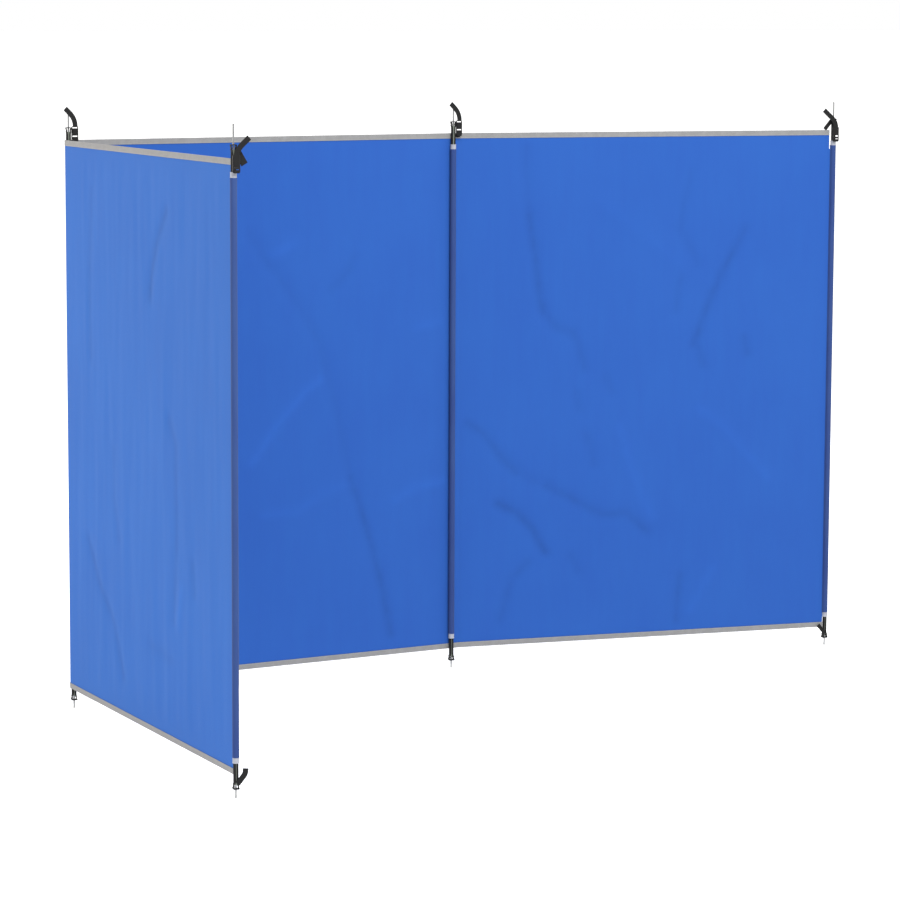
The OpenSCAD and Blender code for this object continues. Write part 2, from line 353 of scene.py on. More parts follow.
    def tidy(self) -> "Shape":
        """Merge doubled vertices and make the faces point one way.

        Returns:
            This shape.
        """
        self._mode("EDIT")
        bpy.ops.mesh.select_all(action="SELECT")
        bpy.ops.mesh.remove_doubles(threshold=0.01 * MM)
        bpy.ops.mesh.normals_make_consistent(inside=False)
        return self

    def modify(self, kind: str, **settings: object) -> "Shape":
        """Add a modifier and apply it.

        Args:
            kind: the modifier's type.
            settings: the modifier's properties.

        Returns:
            This shape.
        """
        self._mode("OBJECT")
        modifier = self.thing.modifiers.new(kind.lower(), kind)
        for key, value in settings.items():
            setattr(modifier, key, value)
        bpy.ops.object.modifier_apply(modifier=modifier.name)
        return self

    def unsettle(self, grain: float, amount: float, direction: str, layers: int = 1,
                 middle: float = 0.5, stretch: Sequence[float] | None = None) -> "Shape":
        """Push the surface out and in by smooth noise.

        Args:
            grain: the noise's size.
            amount: how far the surface moves from the least to the most.
            direction: Y, Z or NORMAL.
            layers: how many finer layers the noise has.
            middle: the noise that leaves the surface where it is.
            stretch: how much longer the noise is along each axis.

        Returns:
            This shape.
        """
        clouds = bpy.data.textures.new(self.thing.name, "CLOUDS")
        clouds.noise_scale = grain
        clouds.noise_depth = layers
        settings = {"texture": clouds, "direction": direction, "strength": amount, "mid_level": middle}
        if stretch is None:
            return self.modify("DISPLACE", texture_coords="LOCAL", **settings)
        guide = bpy.data.objects.new("stretch_guide", None)
        bpy.context.scene.collection.objects.link(guide)
        guide.scale = tuple(stretch)
        bpy.context.view_layer.update()
        self.modify("DISPLACE", texture_coords="OBJECT", texture_coords_object=guide, **settings)
        bpy.data.objects.remove(guide)
        return self

    def thicken(self, thickness: float, offset: float = 0) -> "Shape":
        """Give the surface a thickness: offset 0 is centred and 1 grows outward."""
        return self.modify("SOLIDIFY", thickness=thickness, offset=offset, use_even_offset=True)

    def soften(self, width: float, segments: int = 2) -> "Shape":
        """Round the sharp edges."""
        return self.modify(
            "BEVEL", width=width, segments=segments, limit_method="ANGLE", angle_limit=math.radians(40))

    def place(self, matrix: Matrix) -> "Shape":
        """Set the shape in the frame, with its place in its mesh.

        Args:
            matrix: the move or turn.

        Returns:
            This shape.
        """
        self._mode("OBJECT")
        self.thing.matrix_world = matrix
        bpy.ops.object.transform_apply(location=True, rotation=True, scale=True)
        return self

    def smooth(self, degrees: float = 40) -> "Shape":
        """Shade smooth, with creases at angles over the given one.

        Args:
            degrees: the sharpest angle that still looks round.

        Returns:
            This shape.
        """
        self._mode("OBJECT")
        bpy.ops.object.shade_smooth_by_angle(angle=math.radians(degrees))
        return self

    def copy(self, name: str) -> "Shape":
        """Copy the shape.

        Args:
            name: the copy's name.

        Returns:
            The copy, with its own mesh.
        """
        self._mode("OBJECT")
        bpy.ops.object.select_all(action="DESELECT")
        self.thing.select_set(True)
        bpy.ops.object.duplicate(linked=False)
        thing = bpy.context.object
        thing.name = thing.data.name = name
        return Shape(thing)

    def join(self, *others: "Shape") -> "Shape":
        """Join other shapes into this one.

        Args:
            others: the shapes that become part of this one.

        Returns:
            This shape.
        """
        self._mode("OBJECT")
        for other in others:
            other.thing.select_set(True)
        bpy.ops.object.join()
        return self

    def discard(self) -> None:
        """Remove a pattern that was only copied."""
        self._mode("OBJECT")
        bpy.ops.object.delete()


class Bend(Enum):
    """The two ways a ribbon that runs upward can bend."""

    OVER = "X"
    SIDEWAYS = "Y"


@dataclass(frozen=True)
class Stretch:
    """A length of ribbon, straight or bent evenly by an angle in degrees."""

    length: float
    angle: float = 0
    way: Bend = Bend.OVER

    @classmethod
    def arc(cls, radius: float, angle: float, way: Bend = Bend.OVER) -> "Stretch":
        """Return a bend of a radius at the ribbon's middle line."""
        return cls(radius * math.radians(abs(angle)), angle, way)


@dataclass(frozen=True)
class Ribbon:
    """A strip of webbing or tape: laid straight up from the origin, then bent row by row."""

    width: float
    thickness: float
    stretches: tuple[Stretch, ...]
    pitch: float = 1.5 * MM
    columns: int = 6
    edge: float = 0.3 * MM
    lean: float = 0
    curl_radius: float = 0
    curl_end: float = 0
    curl_fade: float = 0
    fade_steps: int = 5

    def lay(self, name: str) -> Shape:
        """Lay the strip straight and bend it, as a surface with no thickness.

        Args:
            name: the object's name.

        Returns:
            The strip, which starts at the origin, runs up and faces -Y.
        """
        length = sum(part.length for part in self.stretches)
        rows = max(2, round(length / self.pitch))
        strip = Shape.grid(name, self.width, length, self.columns, rows)
        if self.curl_radius:
            self.curl(strip)
        everything = range(self.columns + 1)
        if self.lean:
            strip.pick(lambda place: True).turn(math.radians(self.lean), "X", (0, 0, 0))
        reached = 0.0
        for part in self.stretches:
            first = round(reached / length * rows)
            reached += part.length
            last = max(first + 1, round(reached / length * rows))
            if not part.angle:
                continue
            step = math.radians(part.angle) / (last - first)
            for row in range(first, last):
                strip.pick_part([row], everything, self.columns + 1)
                pivot = strip.centre()
                strip.pick_part(range(row + 1, rows + 1), everything, self.columns + 1)
                strip.turn(step, part.way.value, pivot)
        return strip

    def curl(self, strip: Shape) -> None:
        """Curl the strip's lower stretch round an upright line behind it, flattening upward.

        Args:
            strip: the straight strip.
        """
        middle = self.columns // 2
        step = self.width / self.columns / self.curl_radius / self.fade_steps
        for fade in range(self.fade_steps):
            limit = self.curl_end - self.curl_fade * fade / self.fade_steps
            rows = range(round(limit / self.pitch) + 1)
            for column in range(middle):
                for side in (-1, 1):
                    at = middle + side * column
                    strip.pick_part([0], [at], self.columns + 1)
                    pivot = strip.centre()
                    outer = range(at + 1, self.columns + 1) if side > 0 else range(at)
                    strip.pick_part(rows, outer, self.columns + 1)
                    strip.turn(side * step, "Z", pivot)

    def make(self, name: str) -> Shape:
        """Lay the strip and give it its thickness and rounded edges.

        Args:
            name: the object's name.

        Returns:
            The finished strip.
        """
        strip = self.lay(name)
        strip.thicken(self.thickness)
        return strip.soften(self.edge)


# ---- Shader expressions ---------------------------------------------------


class Wire:
    """A node's output that adds Math nodes when it is used in an expression."""

    def __init__(self, paint: "Paint", source: bpy.types.NodeSocket) -> None:
        """Wrap a socket.

        Args:
            paint: the material that is being made.
            source: an output socket.
        """
        self.paint = paint
        self.source = source

    def _math(self, operation: str, *values: "Wire | float") -> "Wire":
        """Add one Math node."""
        return self.paint.node("ShaderNodeMath", {"operation": operation}, dict(enumerate(values)))

    def __add__(self, other: "Wire | float") -> "Wire":
        """Add."""
        return self._math("ADD", self, other)

    __radd__ = __add__

    def __mul__(self, other: "Wire | float") -> "Wire":
        """Multiply."""
        return self._math("MULTIPLY", self, other)

    __rmul__ = __mul__

    def __sub__(self, other: "Wire | float") -> "Wire":
        """Subtract."""
        return self._math("SUBTRACT", self, other)

    def __rsub__(self, other: "Wire | float") -> "Wire":
        """Subtract from."""
        return self._math("SUBTRACT", other, self)

    def __truediv__(self, other: "Wire | float") -> "Wire":
        """Divide."""
        return self._math("DIVIDE", self, other)

    def __rtruediv__(self, other: "Wire | float") -> "Wire":
        """Divide into."""
        return self._math("DIVIDE", other, self)

    def __abs__(self) -> "Wire":
        """Give the size without the sign."""
        return self._math("ABSOLUTE", self)

    def sine(self) -> "Wire":
        """Give the sine, of radians."""
        return self._math("SINE", self)

    def saw(self, period: float) -> "Wire":
        """Give the place within a period, from 0 to 1."""
        return self._math("FRACT", self / period)

    def most(self, other: "Wire | float") -> "Wire":
        """Give the larger of two."""
        return self._math("MAXIMUM", self, other)

    def fade(self, start: float, end: float) -> "Wire":
        """Give 0 at start and 1 at end, with a smooth run between them."""
        return self.paint.node(
            "ShaderNodeMapRange", {"interpolation_type": "SMOOTHSTEP"},
            {"Value": self, "From Min": start, "From Max": end})


class Paint:
    """One procedural material, with a Principled shader."""

    def __init__(self, name: str) -> None:
        """Start a material.

        Args:
            name: the material's name.
        """
        self.material = bpy.data.materials.new(name)
        self.material.use_nodes = True
        self.tree = self.material.node_tree
        self.shader = self.tree.nodes["Principled BSDF"]

    def node(self, kind: str, settings: dict[str, object], inputs: dict[str | int, object],
             output: str | int = 0) -> Wire:
        """Add any node.

        Args:
            kind: the node's type.
            settings: its properties, set first.
            inputs: the values or wires of its sockets, by name or number.
            output: the socket that is wanted.

        Returns:
            The wanted output.
        """
        made = self.tree.nodes.new(kind)
        for key, value in settings.items():
            setattr(made, key, value)
        for key, value in inputs.items():
            self._feed(made.inputs[key], value)
        return Wire(self, made.outputs[output])

    def _feed(self, socket: bpy.types.NodeSocket, value: object) -> None:
        """Link a wire to a socket, or set the socket's own value.

        Args:
            socket: the input socket.
            value: a wire or a plain value.
        """
        if isinstance(value, Wire):
            self.tree.links.new(value.source, socket)
        else:
            socket.default_value = value

    def set(self, **values: object) -> None:
        """Set or feed the shader's sockets, with _ for a space in their names."""
        for key, value in values.items():
            self._feed(self.shader.inputs[key.replace("_", " ")], value)

    def place(self) -> Wire:
        """Give the place on the piece, in metres."""
        return self.node("ShaderNodeTexCoord", {}, {}, "Object")

    def surface(self) -> tuple[Wire, Wire]:
        """Give the two UV directions, in metres."""
        uv = self.node("ShaderNodeUVMap", {}, {})
        return (self.node("ShaderNodeSeparateXYZ", {}, {0: uv}, 0),
                self.node("ShaderNodeSeparateXYZ", {}, {0: uv}, 1))

    def stretched(self, where: Wire, factors: Sequence[float]) -> Wire:
        """Scale a place by three factors, so that a pattern runs long or short."""
        return self.node(
            "ShaderNodeVectorMath", {"operation": "MULTIPLY"}, {0: where, 1: tuple(factors)})

    def noise(self, where: Wire, scale: float, detail: float = 2, roughness: float = 0.5) -> Wire:
        """Give smooth noise from 0 to 1."""
        return self.node(
            "ShaderNodeTexNoise", {},
            {"Vector": where, "Scale": scale, "Detail": detail, "Roughness": roughness}, "Fac")

    def mix(self, amount: "Wire | float", first: "Wire | Colour", second: "Wire | Colour") -> Wire:
        """Mix two colours."""
        return self.node(
            "ShaderNodeMix", {"data_type": "RGBA"}, {0: amount, 6: first, 7: second}, 2)

    def bump(self, height: Wire, depth: float, strength: float = 1) -> Wire:
        """Turn a height from 0 to 1 into a normal, for grain of the given depth in metres."""
        return self.node(
            "ShaderNodeBump", {}, {"Height": height, "Distance": depth, "Strength": strength})


def times(colour: Colour, factor: float) -> Colour:
    """Make a linear colour darker or lighter."""
    return (colour[0] * factor, colour[1] * factor, colour[2] * factor, 1.0)


def srgb(red: int, green: int, blue: int) -> Colour:
    """Turn a display colour into the linear one that a shader takes.

    Args:
        red: from 0 to 255.
        green: from 0 to 255.
        blue: from 0 to 255.

    Returns:
        The linear colour with an alpha of 1.
    """
    linear = [
        part / 12.92 if part <= 0.04045 else ((part + 0.055) / 1.055) ** 2.4
        for part in (red / 255, green / 255, blue / 255)]
    return (linear[0], linear[1], linear[2], 1.0)


# ---- Finishes -------------------------------------------------------------


@dataclass(frozen=True)
class WovenCloth:
    """Plain-woven polyester: a fine weave, faint streaks and a soft sheen."""

    name: str
    colour: Colour
    shade: Colour
    thread: float = 1.1 * MM
    sheen: float = 0.03
    # Painted shade: crease lines are darkened to the first factor times the shade colour; painted highlight:
    # ridges are lightened to the second factor times the colour.
    crease_shade_factor: float = 0.5
    raised: float = 1.5

    def make(self) -> bpy.types.Material:
        """Make the material: its weave follows the UV map, and its painted crease shade and ridge highlight
        follow a stored number.

        Returns:
            The material.
        """
        paint = Paint(self.name)
        across, along = paint.surface()
        turns = 2 * math.pi / self.thread
        weave = (across * turns).sine() * (along * turns).sine() * 0.5 + 0.5
        place = paint.place()
        streaks = paint.noise(paint.stretched(place, (1, 1, 0.12)), 45, 4, 0.6)
        clouds = paint.noise(place, 3.5, 2, 0.5)
        tone = (streaks * 0.5 + clouds * 0.5).fade(0.3, 0.7)
        threads = tone * 0.85 + weave * 0.15
        # Painted shade along the creases and painted highlight along the ridges, read from the stored number
        # and varied by noise.
        crease = paint.node("ShaderNodeAttribute", {"attribute_name": "fold"}, {}, "Fac")
        fold = crease * (paint.noise(place, 26, 3, 0.6) * 1.6 + 0.2)
        flat = paint.mix(threads, self.shade, self.colour)
        crease_shaded = paint.mix(fold.most(0), flat, times(self.shade, self.crease_shade_factor))
        paint.set(
            Base_Color=paint.mix((0 - fold).most(0), crease_shaded, times(self.colour, self.raised)),
            Roughness=0.72 + streaks * 0.12,
            Sheen_Weight=self.sheen, Sheen_Roughness=0.5, Specular_IOR_Level=0.12,
            Normal=paint.bump(weave * 0.7 + streaks * 0.3, 0.12 * MM, 0.5))
        return paint.material


@dataclass(frozen=True)
class BindingTape:
    """Grosgrain tape: fine cross ribs, and a row of stitches along its free edge."""

    name: str
    colour: Colour
    shade: Colour
    stitch_colour: Colour
    rib: float = 0.9 * MM
    stitch: float = 3.2 * MM
    stitch_in: float = 2.2 * MM

    def make(self) -> bpy.types.Material:
        """Make the material: UV runs along the tape and in from its free edge.

        Returns:
            The material.
        """
        paint = Paint(self.name)
        along, inward = paint.surface()
        ribs = (along * (2 * math.pi / self.rib)).sine() * 0.5 + 0.5
        row = 1 - abs(inward - self.stitch_in).fade(0.25 * MM, 0.6 * MM)
        dash = 1 - abs(along.saw(self.stitch) - 0.5).fade(0.28, 0.38)
        stitches = row * dash
        wear = paint.noise(paint.place(), 60, 3, 0.6)
        base = paint.mix(wear.fade(0.3, 0.75), self.shade, self.colour)
        paint.set(
            Base_Color=paint.mix(stitches, base, self.stitch_colour), Roughness=0.7 + wear * 0.15,
            Sheen_Weight=0.08, Sheen_Roughness=0.5, Specular_IOR_Level=0.3,
            Normal=paint.bump(ribs * 0.4 - row * 0.8 + stitches * 1.2, 0.3 * MM, 0.6))
        return paint.material


@dataclass(frozen=True)
class Webbing:
    """Polyester webbing: a fine rib across, and raised cords along it with a painted highlight where they
    catch the light.
    """

    name: str
    colour: Colour
    # The painted highlight colour of the cords.
    light: Colour
    cord: float = 2.5 * MM
    rib: float = 1.1 * MM

    def make(self) -> bpy.types.Material:
        """Make the material: UV runs across the webbing and along it.

        Returns:
            The material.
        """
        paint = Paint(self.name)
        across, along = paint.surface()
        cords = (across * (2 * math.pi / self.cord)).sine() * 0.5 + 0.5
        ribs = (along * (2 * math.pi / self.rib)).sine() * 0.5 + 0.5
        fuzz = paint.noise(paint.place(), 900, 3, 0.6)
        # Painted highlight on the cords, mixed with random fuzz.
        cord_highlight = (cords * 0.6 + fuzz * 0.4).fade(0.35, 0.85)
        paint.set(
            Base_Color=paint.mix(cord_highlight, self.colour, self.light), Roughness=0.62 + fuzz * 0.2,
            Specular_IOR_Level=0.15,
            Normal=paint.bump(cords * 0.6 + ribs * 0.3 + fuzz * 0.1, 0.35 * MM, 0.8))
        return paint.material


@dataclass(frozen=True)
class MouldedPlastic:
    """Moulded nylon with a fine satin grain."""

    name: str
    colour: Colour
    grain: float = 700

    def make(self) -> bpy.types.Material:
        """Make the material.

        Returns:
            The material.
        """
        paint = Paint(self.name)
        place = paint.place()
        grain = paint.noise(place, self.grain, 3, 0.6)
        rubbed = paint.noise(place, 90, 3, 0.6).fade(0.55, 0.8)
        pale = tuple(part * 2.2 + 0.01 for part in self.colour[:3]) + (1.0,)
        paint.set(
            Base_Color=paint.mix(rubbed * 0.5, self.colour, pale), Roughness=0.36 + grain * 0.2,
            Specular_IOR_Level=0.25, Normal=paint.bump(grain, 0.08 * MM, 0.5))
        return paint.material


@dataclass(frozen=True)
class DrawnMetal:
    """Bare or painted steel with faint lines along Z from drawing."""

    name: str
    colour: Colour
    dull: Colour
    metallic: float = 1.0
    roughness: float = 0.3

    def make(self) -> bpy.types.Material:
        """Make the material.

        Returns:
            The material.
        """
        paint = Paint(self.name)
        place = paint.place()
        lines = paint.noise(paint.stretched(place, (1, 1, 0.02)), 1400, 3, 0.6)
        spots = paint.noise(place, 55, 4, 0.65).fade(0.5, 0.75)
        paint.set(
            Base_Color=paint.mix(spots, self.colour, self.dull), Metallic=self.metallic,
            Roughness=self.roughness + lines * 0.15 + spots * 0.15,
            Normal=paint.bump(lines, 0.04 * MM, 0.5))
        return paint.material


@dataclass(frozen=True)
class Finish:
    """The made materials of one of the record's slots: a second one, a lighter copy that carries painted
    light, is for a sheet's outer side.
    """

    slot: str
    materials: tuple[bpy.types.Material, ...]

    def dress(self, thing: bpy.types.Object) -> None:
        """Give the materials to a piece, after clearing a CAD node's own ones.

        Args:
            thing: a new piece or a CAD node.
        """
        if "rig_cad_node" in thing:
            thing.data.materials.clear()
        for material in self.materials:
            thing.data.materials.append(material)


class Finishes:
    """Every finish of the windbreak, made once."""

    def __init__(self) -> None:
        """Make the materials."""
        self.cloth = Finish("cloth", (
            WovenCloth("blue_cloth", srgb(31, 73, 142), srgb(29, 69, 139)).make(),
            # A lighter copy of the cloth colour for the outer side: painted light for the brightly lit outer
            # face of the left bay.
            WovenCloth("blue_cloth_outer_painted_light", srgb(29, 82, 153), srgb(26, 78, 149)).make()))
        self.sleeve = Finish("sleeve", (
            WovenCloth("navy_sleeve", srgb(42, 62, 106), srgb(32, 49, 98)).make(),))
        self.tape = Finish("tape", (
            BindingTape("grey_tape", srgb(117, 117, 117), srgb(109, 109, 109), srgb(128, 128, 128)).make(),))
        self.band = Finish("band", (
            BindingTape("pale_band", srgb(142, 144, 151), srgb(128, 130, 139), srgb(152, 154, 159)).make(),))
        self.webbing = Finish("webbing", (Webbing("black_webbing", srgb(8, 8, 9), srgb(30, 30, 30)).make(),))
        self.buckle = Finish("buckle", (MouldedPlastic("black_nylon", srgb(7, 7, 8)).make(),))
        self.pole = Finish("pole", (DrawnMetal(
            "grey_steel", srgb(92, 97, 88), srgb(74, 78, 72), metallic=0.4).make(),))
        self.pin = Finish("pin", (
            DrawnMetal("bright_steel", srgb(118, 119, 119), srgb(100, 100, 100), metallic=0.5).make(),))


# ---- The frame's places ---------------------------------------------------


@dataclass(frozen=True)
class Site:
    """A place in plan with its own heading: X runs along the cloth and -Y is the sheltered side."""

    name: str
    body: str
    matrix: Matrix
    heading: float

    @classmethod
    def at(cls, name: str, body: str, point: Sequence[float], heading: float) -> "Site":
        """Return a site at a plan point, turned by a heading in radians."""
        return cls(
            name, body,
            Matrix.Translation((point[0], point[1], 0)) @ Matrix.Rotation(heading, 4, "Z"), heading)


class Layout:
    """What the frame says: the bays, the poles and the heights they share."""

    straight = math.radians(176)  # how far the right bay turns back from a straight line

    def __init__(self, frame: dict[str, object]) -> None:
        """Read the frame.
        """
        joints = {joint["name"]: joint for joint in frame["joints"]}
        corner, wing = joints["left_bay_fold"], joints["right_bay_fold"]
        self.corner_angle = math.pi + math.radians(corner["range_deg"][0])
        self.wing_turn = math.radians(wing["range_deg"][1]) - self.straight
        poles = {name: self.middle(f"pole_{name}") for name in ("left", "corner", "middle", "right")}
        self.centre_bay = Site.at("centre", "centre_bay", poles["corner"], 0)
        self.left_bay = Site.at("left", "left_bay", corner["pos_m"], -self.corner_angle)
        self.right_bay = Site.at("right", "right_bay", wing["pos_m"], -self.wing_turn)
        quarter = math.pi / 2
        self.left_pole = Site.at("left", "left_bay", poles["left"], quarter - self.corner_angle)
        self.corner_pole = Site.at("corner", "centre_bay", poles["corner"], 0)
        self.middle_pole = Site.at("middle", "centre_bay", poles["middle"], 0)
        self.right_pole = Site.at("right", "right_bay", poles["right"], -self.wing_turn)
        self.poles = (self.left_pole, self.corner_pole, self.middle_pole, self.right_pole)
        self.pole_bottom, self.pole_top = self.span("pole_middle")
        self.cloth_bottom = self.span("bottom_tape_centre")[0]
        self.cloth_top = self.span("top_tape_centre")[1]
        self.sleeve_bottom, self.sleeve_top = self.span("sleeve_middle")
        self.bands_bottom, self.bands_top = self.span("sleeve_bands_middle")

    @staticmethod
    def middle(node: str) -> Vector:
        """Return the centre of a node's box."""
        low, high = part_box(node)
        return (low + high) / 2

    @staticmethod
    def span(node: str) -> tuple[float, float]:
        """Return the heights of a node's lowest and highest points."""
        low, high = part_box(node)
        return low.z, high.z

    def within(self, bay: Site, node: str) -> Vector:
        """Return the centre of a node's box in a bay's own directions."""
        return bay.matrix.inverted() @ self.middle(node)


# ---- Cloth and its binding ------------------------------------------------


@dataclass(frozen=True)
class Crease:
    """A soft crease: its line in shares of a panel's width and height, how much painted shade darkens the
    line (below 0, how much painted highlight lightens it), how far it stands out on the sheltered side and
    how far it reaches to either side."""

    line: tuple[tuple[float, float], ...]
    # Painted shade along the line; below 0, painted highlight.
    mark: float
    depth: float
    reach: float = 36 * MM

    def distance(self, across: float, up: float, width: float, height: float) -> float:
        """Measure how far a point of the panel lies from the line.

        Args:
            across: the point's place along the panel's width.
            up: its height on the panel.
            width: the panel's width.
            height: the panel's height.

        Returns:
            The distance, or infinity if it is too far to matter.
        """
        ends = [Vector((share[0] * width, share[1] * height)) for share in self.line]
        far = 3 * self.reach
        if not (min(end.x for end in ends) - far < across < max(end.x for end in ends) + far
                and min(end.y for end in ends) - far < up < max(end.y for end in ends) + far):
            return math.inf
        point = Vector((across, up))
        found = math.inf
        for start, end in zip(ends, ends[1:]):
            along = end - start
            share = max(0.0, min(1.0, (point - start).dot(along) / along.length_squared))
            found = min(found, (point - start - share * along).length)
        return found


class Near(Enum):
    """How a bay's cloth starts at its near pole."""

    PLAIN = "plain"
    ROUND_CORNER = "round the corner pole"
    ACROSS_FOLD = "across the fold line"


@dataclass(frozen=True)
class Run:
    """What the cloth and the tapes of one bay share: where they start and end, and their plane."""

    bay: Site
    start: float
    end: float
    plane: float
    near: Near
    turn: float = 0

    corner_steps: int = 10
    fold_steps: int = 4
    fold_reach: float = 4 * MM

    def unrolled(self, place: Vector) -> float:
        """Measure how far along the flat cloth a point lies.

        Args:
            place: a point of the cloth, in the bay's directions.

        Returns:
            The distance, which is negative round the corner pole.
        """
        if self.near is Near.ROUND_CORNER and place.x < 0:
            return math.atan2(place.x, -place.y) * abs(self.plane)
        return place.x

    def outward(self, place: Vector) -> Vector:
        """Find the direction away from the sheltered side at a point.

        Args:
            place: a point of the cloth, in the bay's directions.

        Returns:
            A vector that points outward.
        """
        if self.near is not Near.ROUND_CORNER:
            return Vector((0, 1, 0))
        return Vector((0, -1, 0)) if place.x > 0 else Vector((place.x, place.y, 0))

    def carry_on(self, shape: Shape) -> Shape:
        """Carry a surface on from its near edge to the neighbouring bay's cloth.

        Args:
            shape: the surface, whose near edge is at the run's start.

        Returns:
            The same shape.
        """
        shape.pick(lambda place: abs(place.x - self.start) < CLOSE)
        if self.near is Near.ROUND_CORNER:
            shape.spin(-self.turn, self.corner_steps, (0, 0, 0), (0, 0, 1))
        if self.near is Near.ACROSS_FOLD:
            bend_x = -self.plane * math.tan(self.turn / 2)
            for _ in range(self.fold_steps):
                shape.extrude_edge(((bend_x - self.start) / self.fold_steps, 0, 0))
            step = self.fold_reach / self.fold_steps
            for _ in range(self.fold_steps):
                shape.extrude_edge((-step * math.cos(self.turn), -step * math.sin(self.turn), 0))
        return shape

    def hang(self, shape: Shape) -> None:
        """Set a finished shape on its bay: within one bay it rides on that bay's body, and where it reaches
        the neighbouring bay it is baked into the frame and rides on no body.

        Args:
            shape: the shape, in the bay's directions.
        """
        shape.place(self.bay.matrix)
        if self.near is Near.PLAIN:
            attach(shape.thing, self.bay.body)
            return
        near, far = self.ends()
        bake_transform(shape.thing)

    def ends(self) -> tuple[Vector, Vector]:
        """Find where the bent stretch starts and ends.

        Returns:
            The two points, in the frame.
        """
        far = self.bay.matrix @ Vector((self.start, self.plane, 0))
        if self.near is Near.ROUND_CORNER:
            return self.bay.matrix @ (Matrix.Rotation(-self.turn, 4, "Z") @ Vector((0, self.plane, 0))), far
        bend_x = -self.plane * math.tan(self.turn / 2)
        back = Vector((bend_x - self.fold_reach * math.cos(self.turn),
                       self.plane - self.fold_reach * math.sin(self.turn), 0))
        return self.bay.matrix @ back, far


@dataclass(frozen=True)
class Panel:
    """The cloth of one bay: a sheet with soft creases, held flat at its edges."""

    run: Run
    bottom: float
    top: float
    creases: tuple[Crease, ...]
    unevenness: float = 3 * MM
    ripple: float = 0
    softening: int = 6
    hem_end: float = 0
    hem_inset: float = 48 * MM
    pressed_edge: float = 18 * MM
    press_reach: float = 60 * MM
    # How far from a crease's line its painted shade or painted highlight reaches, and how strong it is.
    shade_line_width: float = 27 * MM
    shade_line_strength: float = 0.7
    thickness: float = 0.5 * MM
    pitch: float = 8 * MM

    def build(self) -> Shape:
        """Model the panel on its bay.

        Returns:
            The finished sheet.
        """
        run = self.run
        width, height = run.end - run.start, self.top - self.bottom
        columns, rows = round(width / self.pitch), round(height / self.pitch)
        sheet = Shape.grid(f"{run.bay.name}_panel", width, height, columns, rows)
        self.billow(sheet)
        for crease in self.creases:
            sheet.pick(lambda place: crease.distance(
                place.x + width / 2, place.z, width, height) < self.pitch * 0.6)
            sheet.move((0, -crease.depth, 0), crease.reach)
        # Store the creases' painted shade, with painted highlight below 0, for the cloth material to read.
        sheet.mark("fold", lambda place: self.fold(place.x + width / 2, place.z, width, height))
        sheet.modify("SMOOTH", factor=0.5, iterations=self.softening, use_x=False, use_z=False)
        self.press(sheet, width, height)
        sheet.place(Matrix.Translation(((run.start + run.end) / 2, run.plane, self.bottom)))
        if self.hem_end:
            sheet.pick(lambda place: abs(place.x - run.end) < CLOSE
                       and place.z < self.top - self.hem_inset)
            sheet.extrude_edge((self.hem_end - run.end, 0, 0))
        run.carry_on(sheet)
        sheet.tidy()
        sheet.map_uv(lambda place: (run.unrolled(place), place.z))
        sheet.thicken(self.thickness)
        # Outer faces take the lighter copy of the cloth, which carries painted light.
        for face in sheet.thing.data.polygons:
            face.material_index = int(face.normal.dot(run.outward(face.center)) > 0)
        sheet.smooth(60)
        return sheet

    def fold(self, across: float, up: float, width: float, height: float) -> float:
        """Find how much painted shade the creases put on a point of the panel.

        Args:
            across: the point's place along the panel's width.
            up: its height on the panel.
            width: the panel's width.
            height: the panel's height.

        Returns:
            How much painted shade darkens the point, or below 0, how much painted highlight lightens it.
        """
        marks = [self.shade_line_strength * crease.mark * max(
            0.0, 1 - crease.distance(across, up, width, height) / self.shade_line_width) ** 1.4
            for crease in self.creases]
        return max(0.0, *marks) + min(0.0, *marks)

    def billow(self, sheet: Shape) -> None:
        """Give the sheet a broad unevenness, and upright ripples where it has them.

        Args:
            sheet: the flat sheet.
        """
        sheet.unsettle(0.35, self.unevenness, "Y")
        if self.ripple:
            sheet.unsettle(0.25, self.ripple, "Y", layers=2, stretch=(0.25, 1, 2.5))

    def press(self, sheet: Shape, width: float, height: float) -> None:
        """Press the sheet flat along the tapes and the poles.

        Args:
            sheet: the uneven sheet.
            width: its width.
            height: its height.
        """
        edge, reach = self.pressed_edge, self.press_reach
        flat = (1, 0, 1)
        sheet.pick(lambda place: place.z < edge or place.z > height - edge).resize(flat, (0, 0, 0), reach)
        sheet.pick(lambda place: abs(place.x) > width / 2 - 2 * edge).resize(flat, (0, 0, 0), reach)


@dataclass(frozen=True)
class Binding:
    """A tape folded over a cloth's top or bottom edge and stitched through."""

    run: Run
    name: str
    edge: float
    up: int
    depth: float = 15.5 * MM
    half_gap: float = 1.15 * MM
    thickness: float = 0.45 * MM
    pucker: float = 0.5 * MM
    pitch: float = 12 * MM
    rows: int = 5

    def build(self) -> Shape:
        """Model the tape on its bay.

        Returns:
            The finished tape.
        """
        run = self.run
        length, fold = run.end - run.start, self.half_gap + self.thickness / 2
        side = self.depth - fold
        tape = Shape.grid(self.name, length, side, round(length / self.pitch), self.rows)
        tape.place(Matrix.Translation((0, -self.half_gap, -side)))
        tape.pick(lambda place: abs(place.z) < CLOSE)
        tape.spin(-math.pi, 6, (0, 0, 0), (1, 0, 0))
        for _ in range(self.rows):
            tape.extrude_edge((0, 0, -side / self.rows))
        tape.unsettle(0.03, self.pucker, "Z")
        if self.up < 0:
            tape.place(Matrix.Rotation(math.pi, 4, "X"))
        tape.place(Matrix.Translation(
            ((run.start + run.end) / 2, run.plane, self.edge - self.up * fold)))
        run.carry_on(tape)
        tape.tidy()
        free = self.edge - self.up * self.depth
        tape.map_uv(lambda place: (run.unrolled(place), abs(place.z - free)))
        tape.thicken(self.thickness)
        tape.smooth(50)
        return tape


# ---- Pole sleeves ---------------------------------------------------------


class Side(Enum):
    """The side of a pole on which its cloth lies."""

    BEHIND = 90
    BEFORE_X = 180


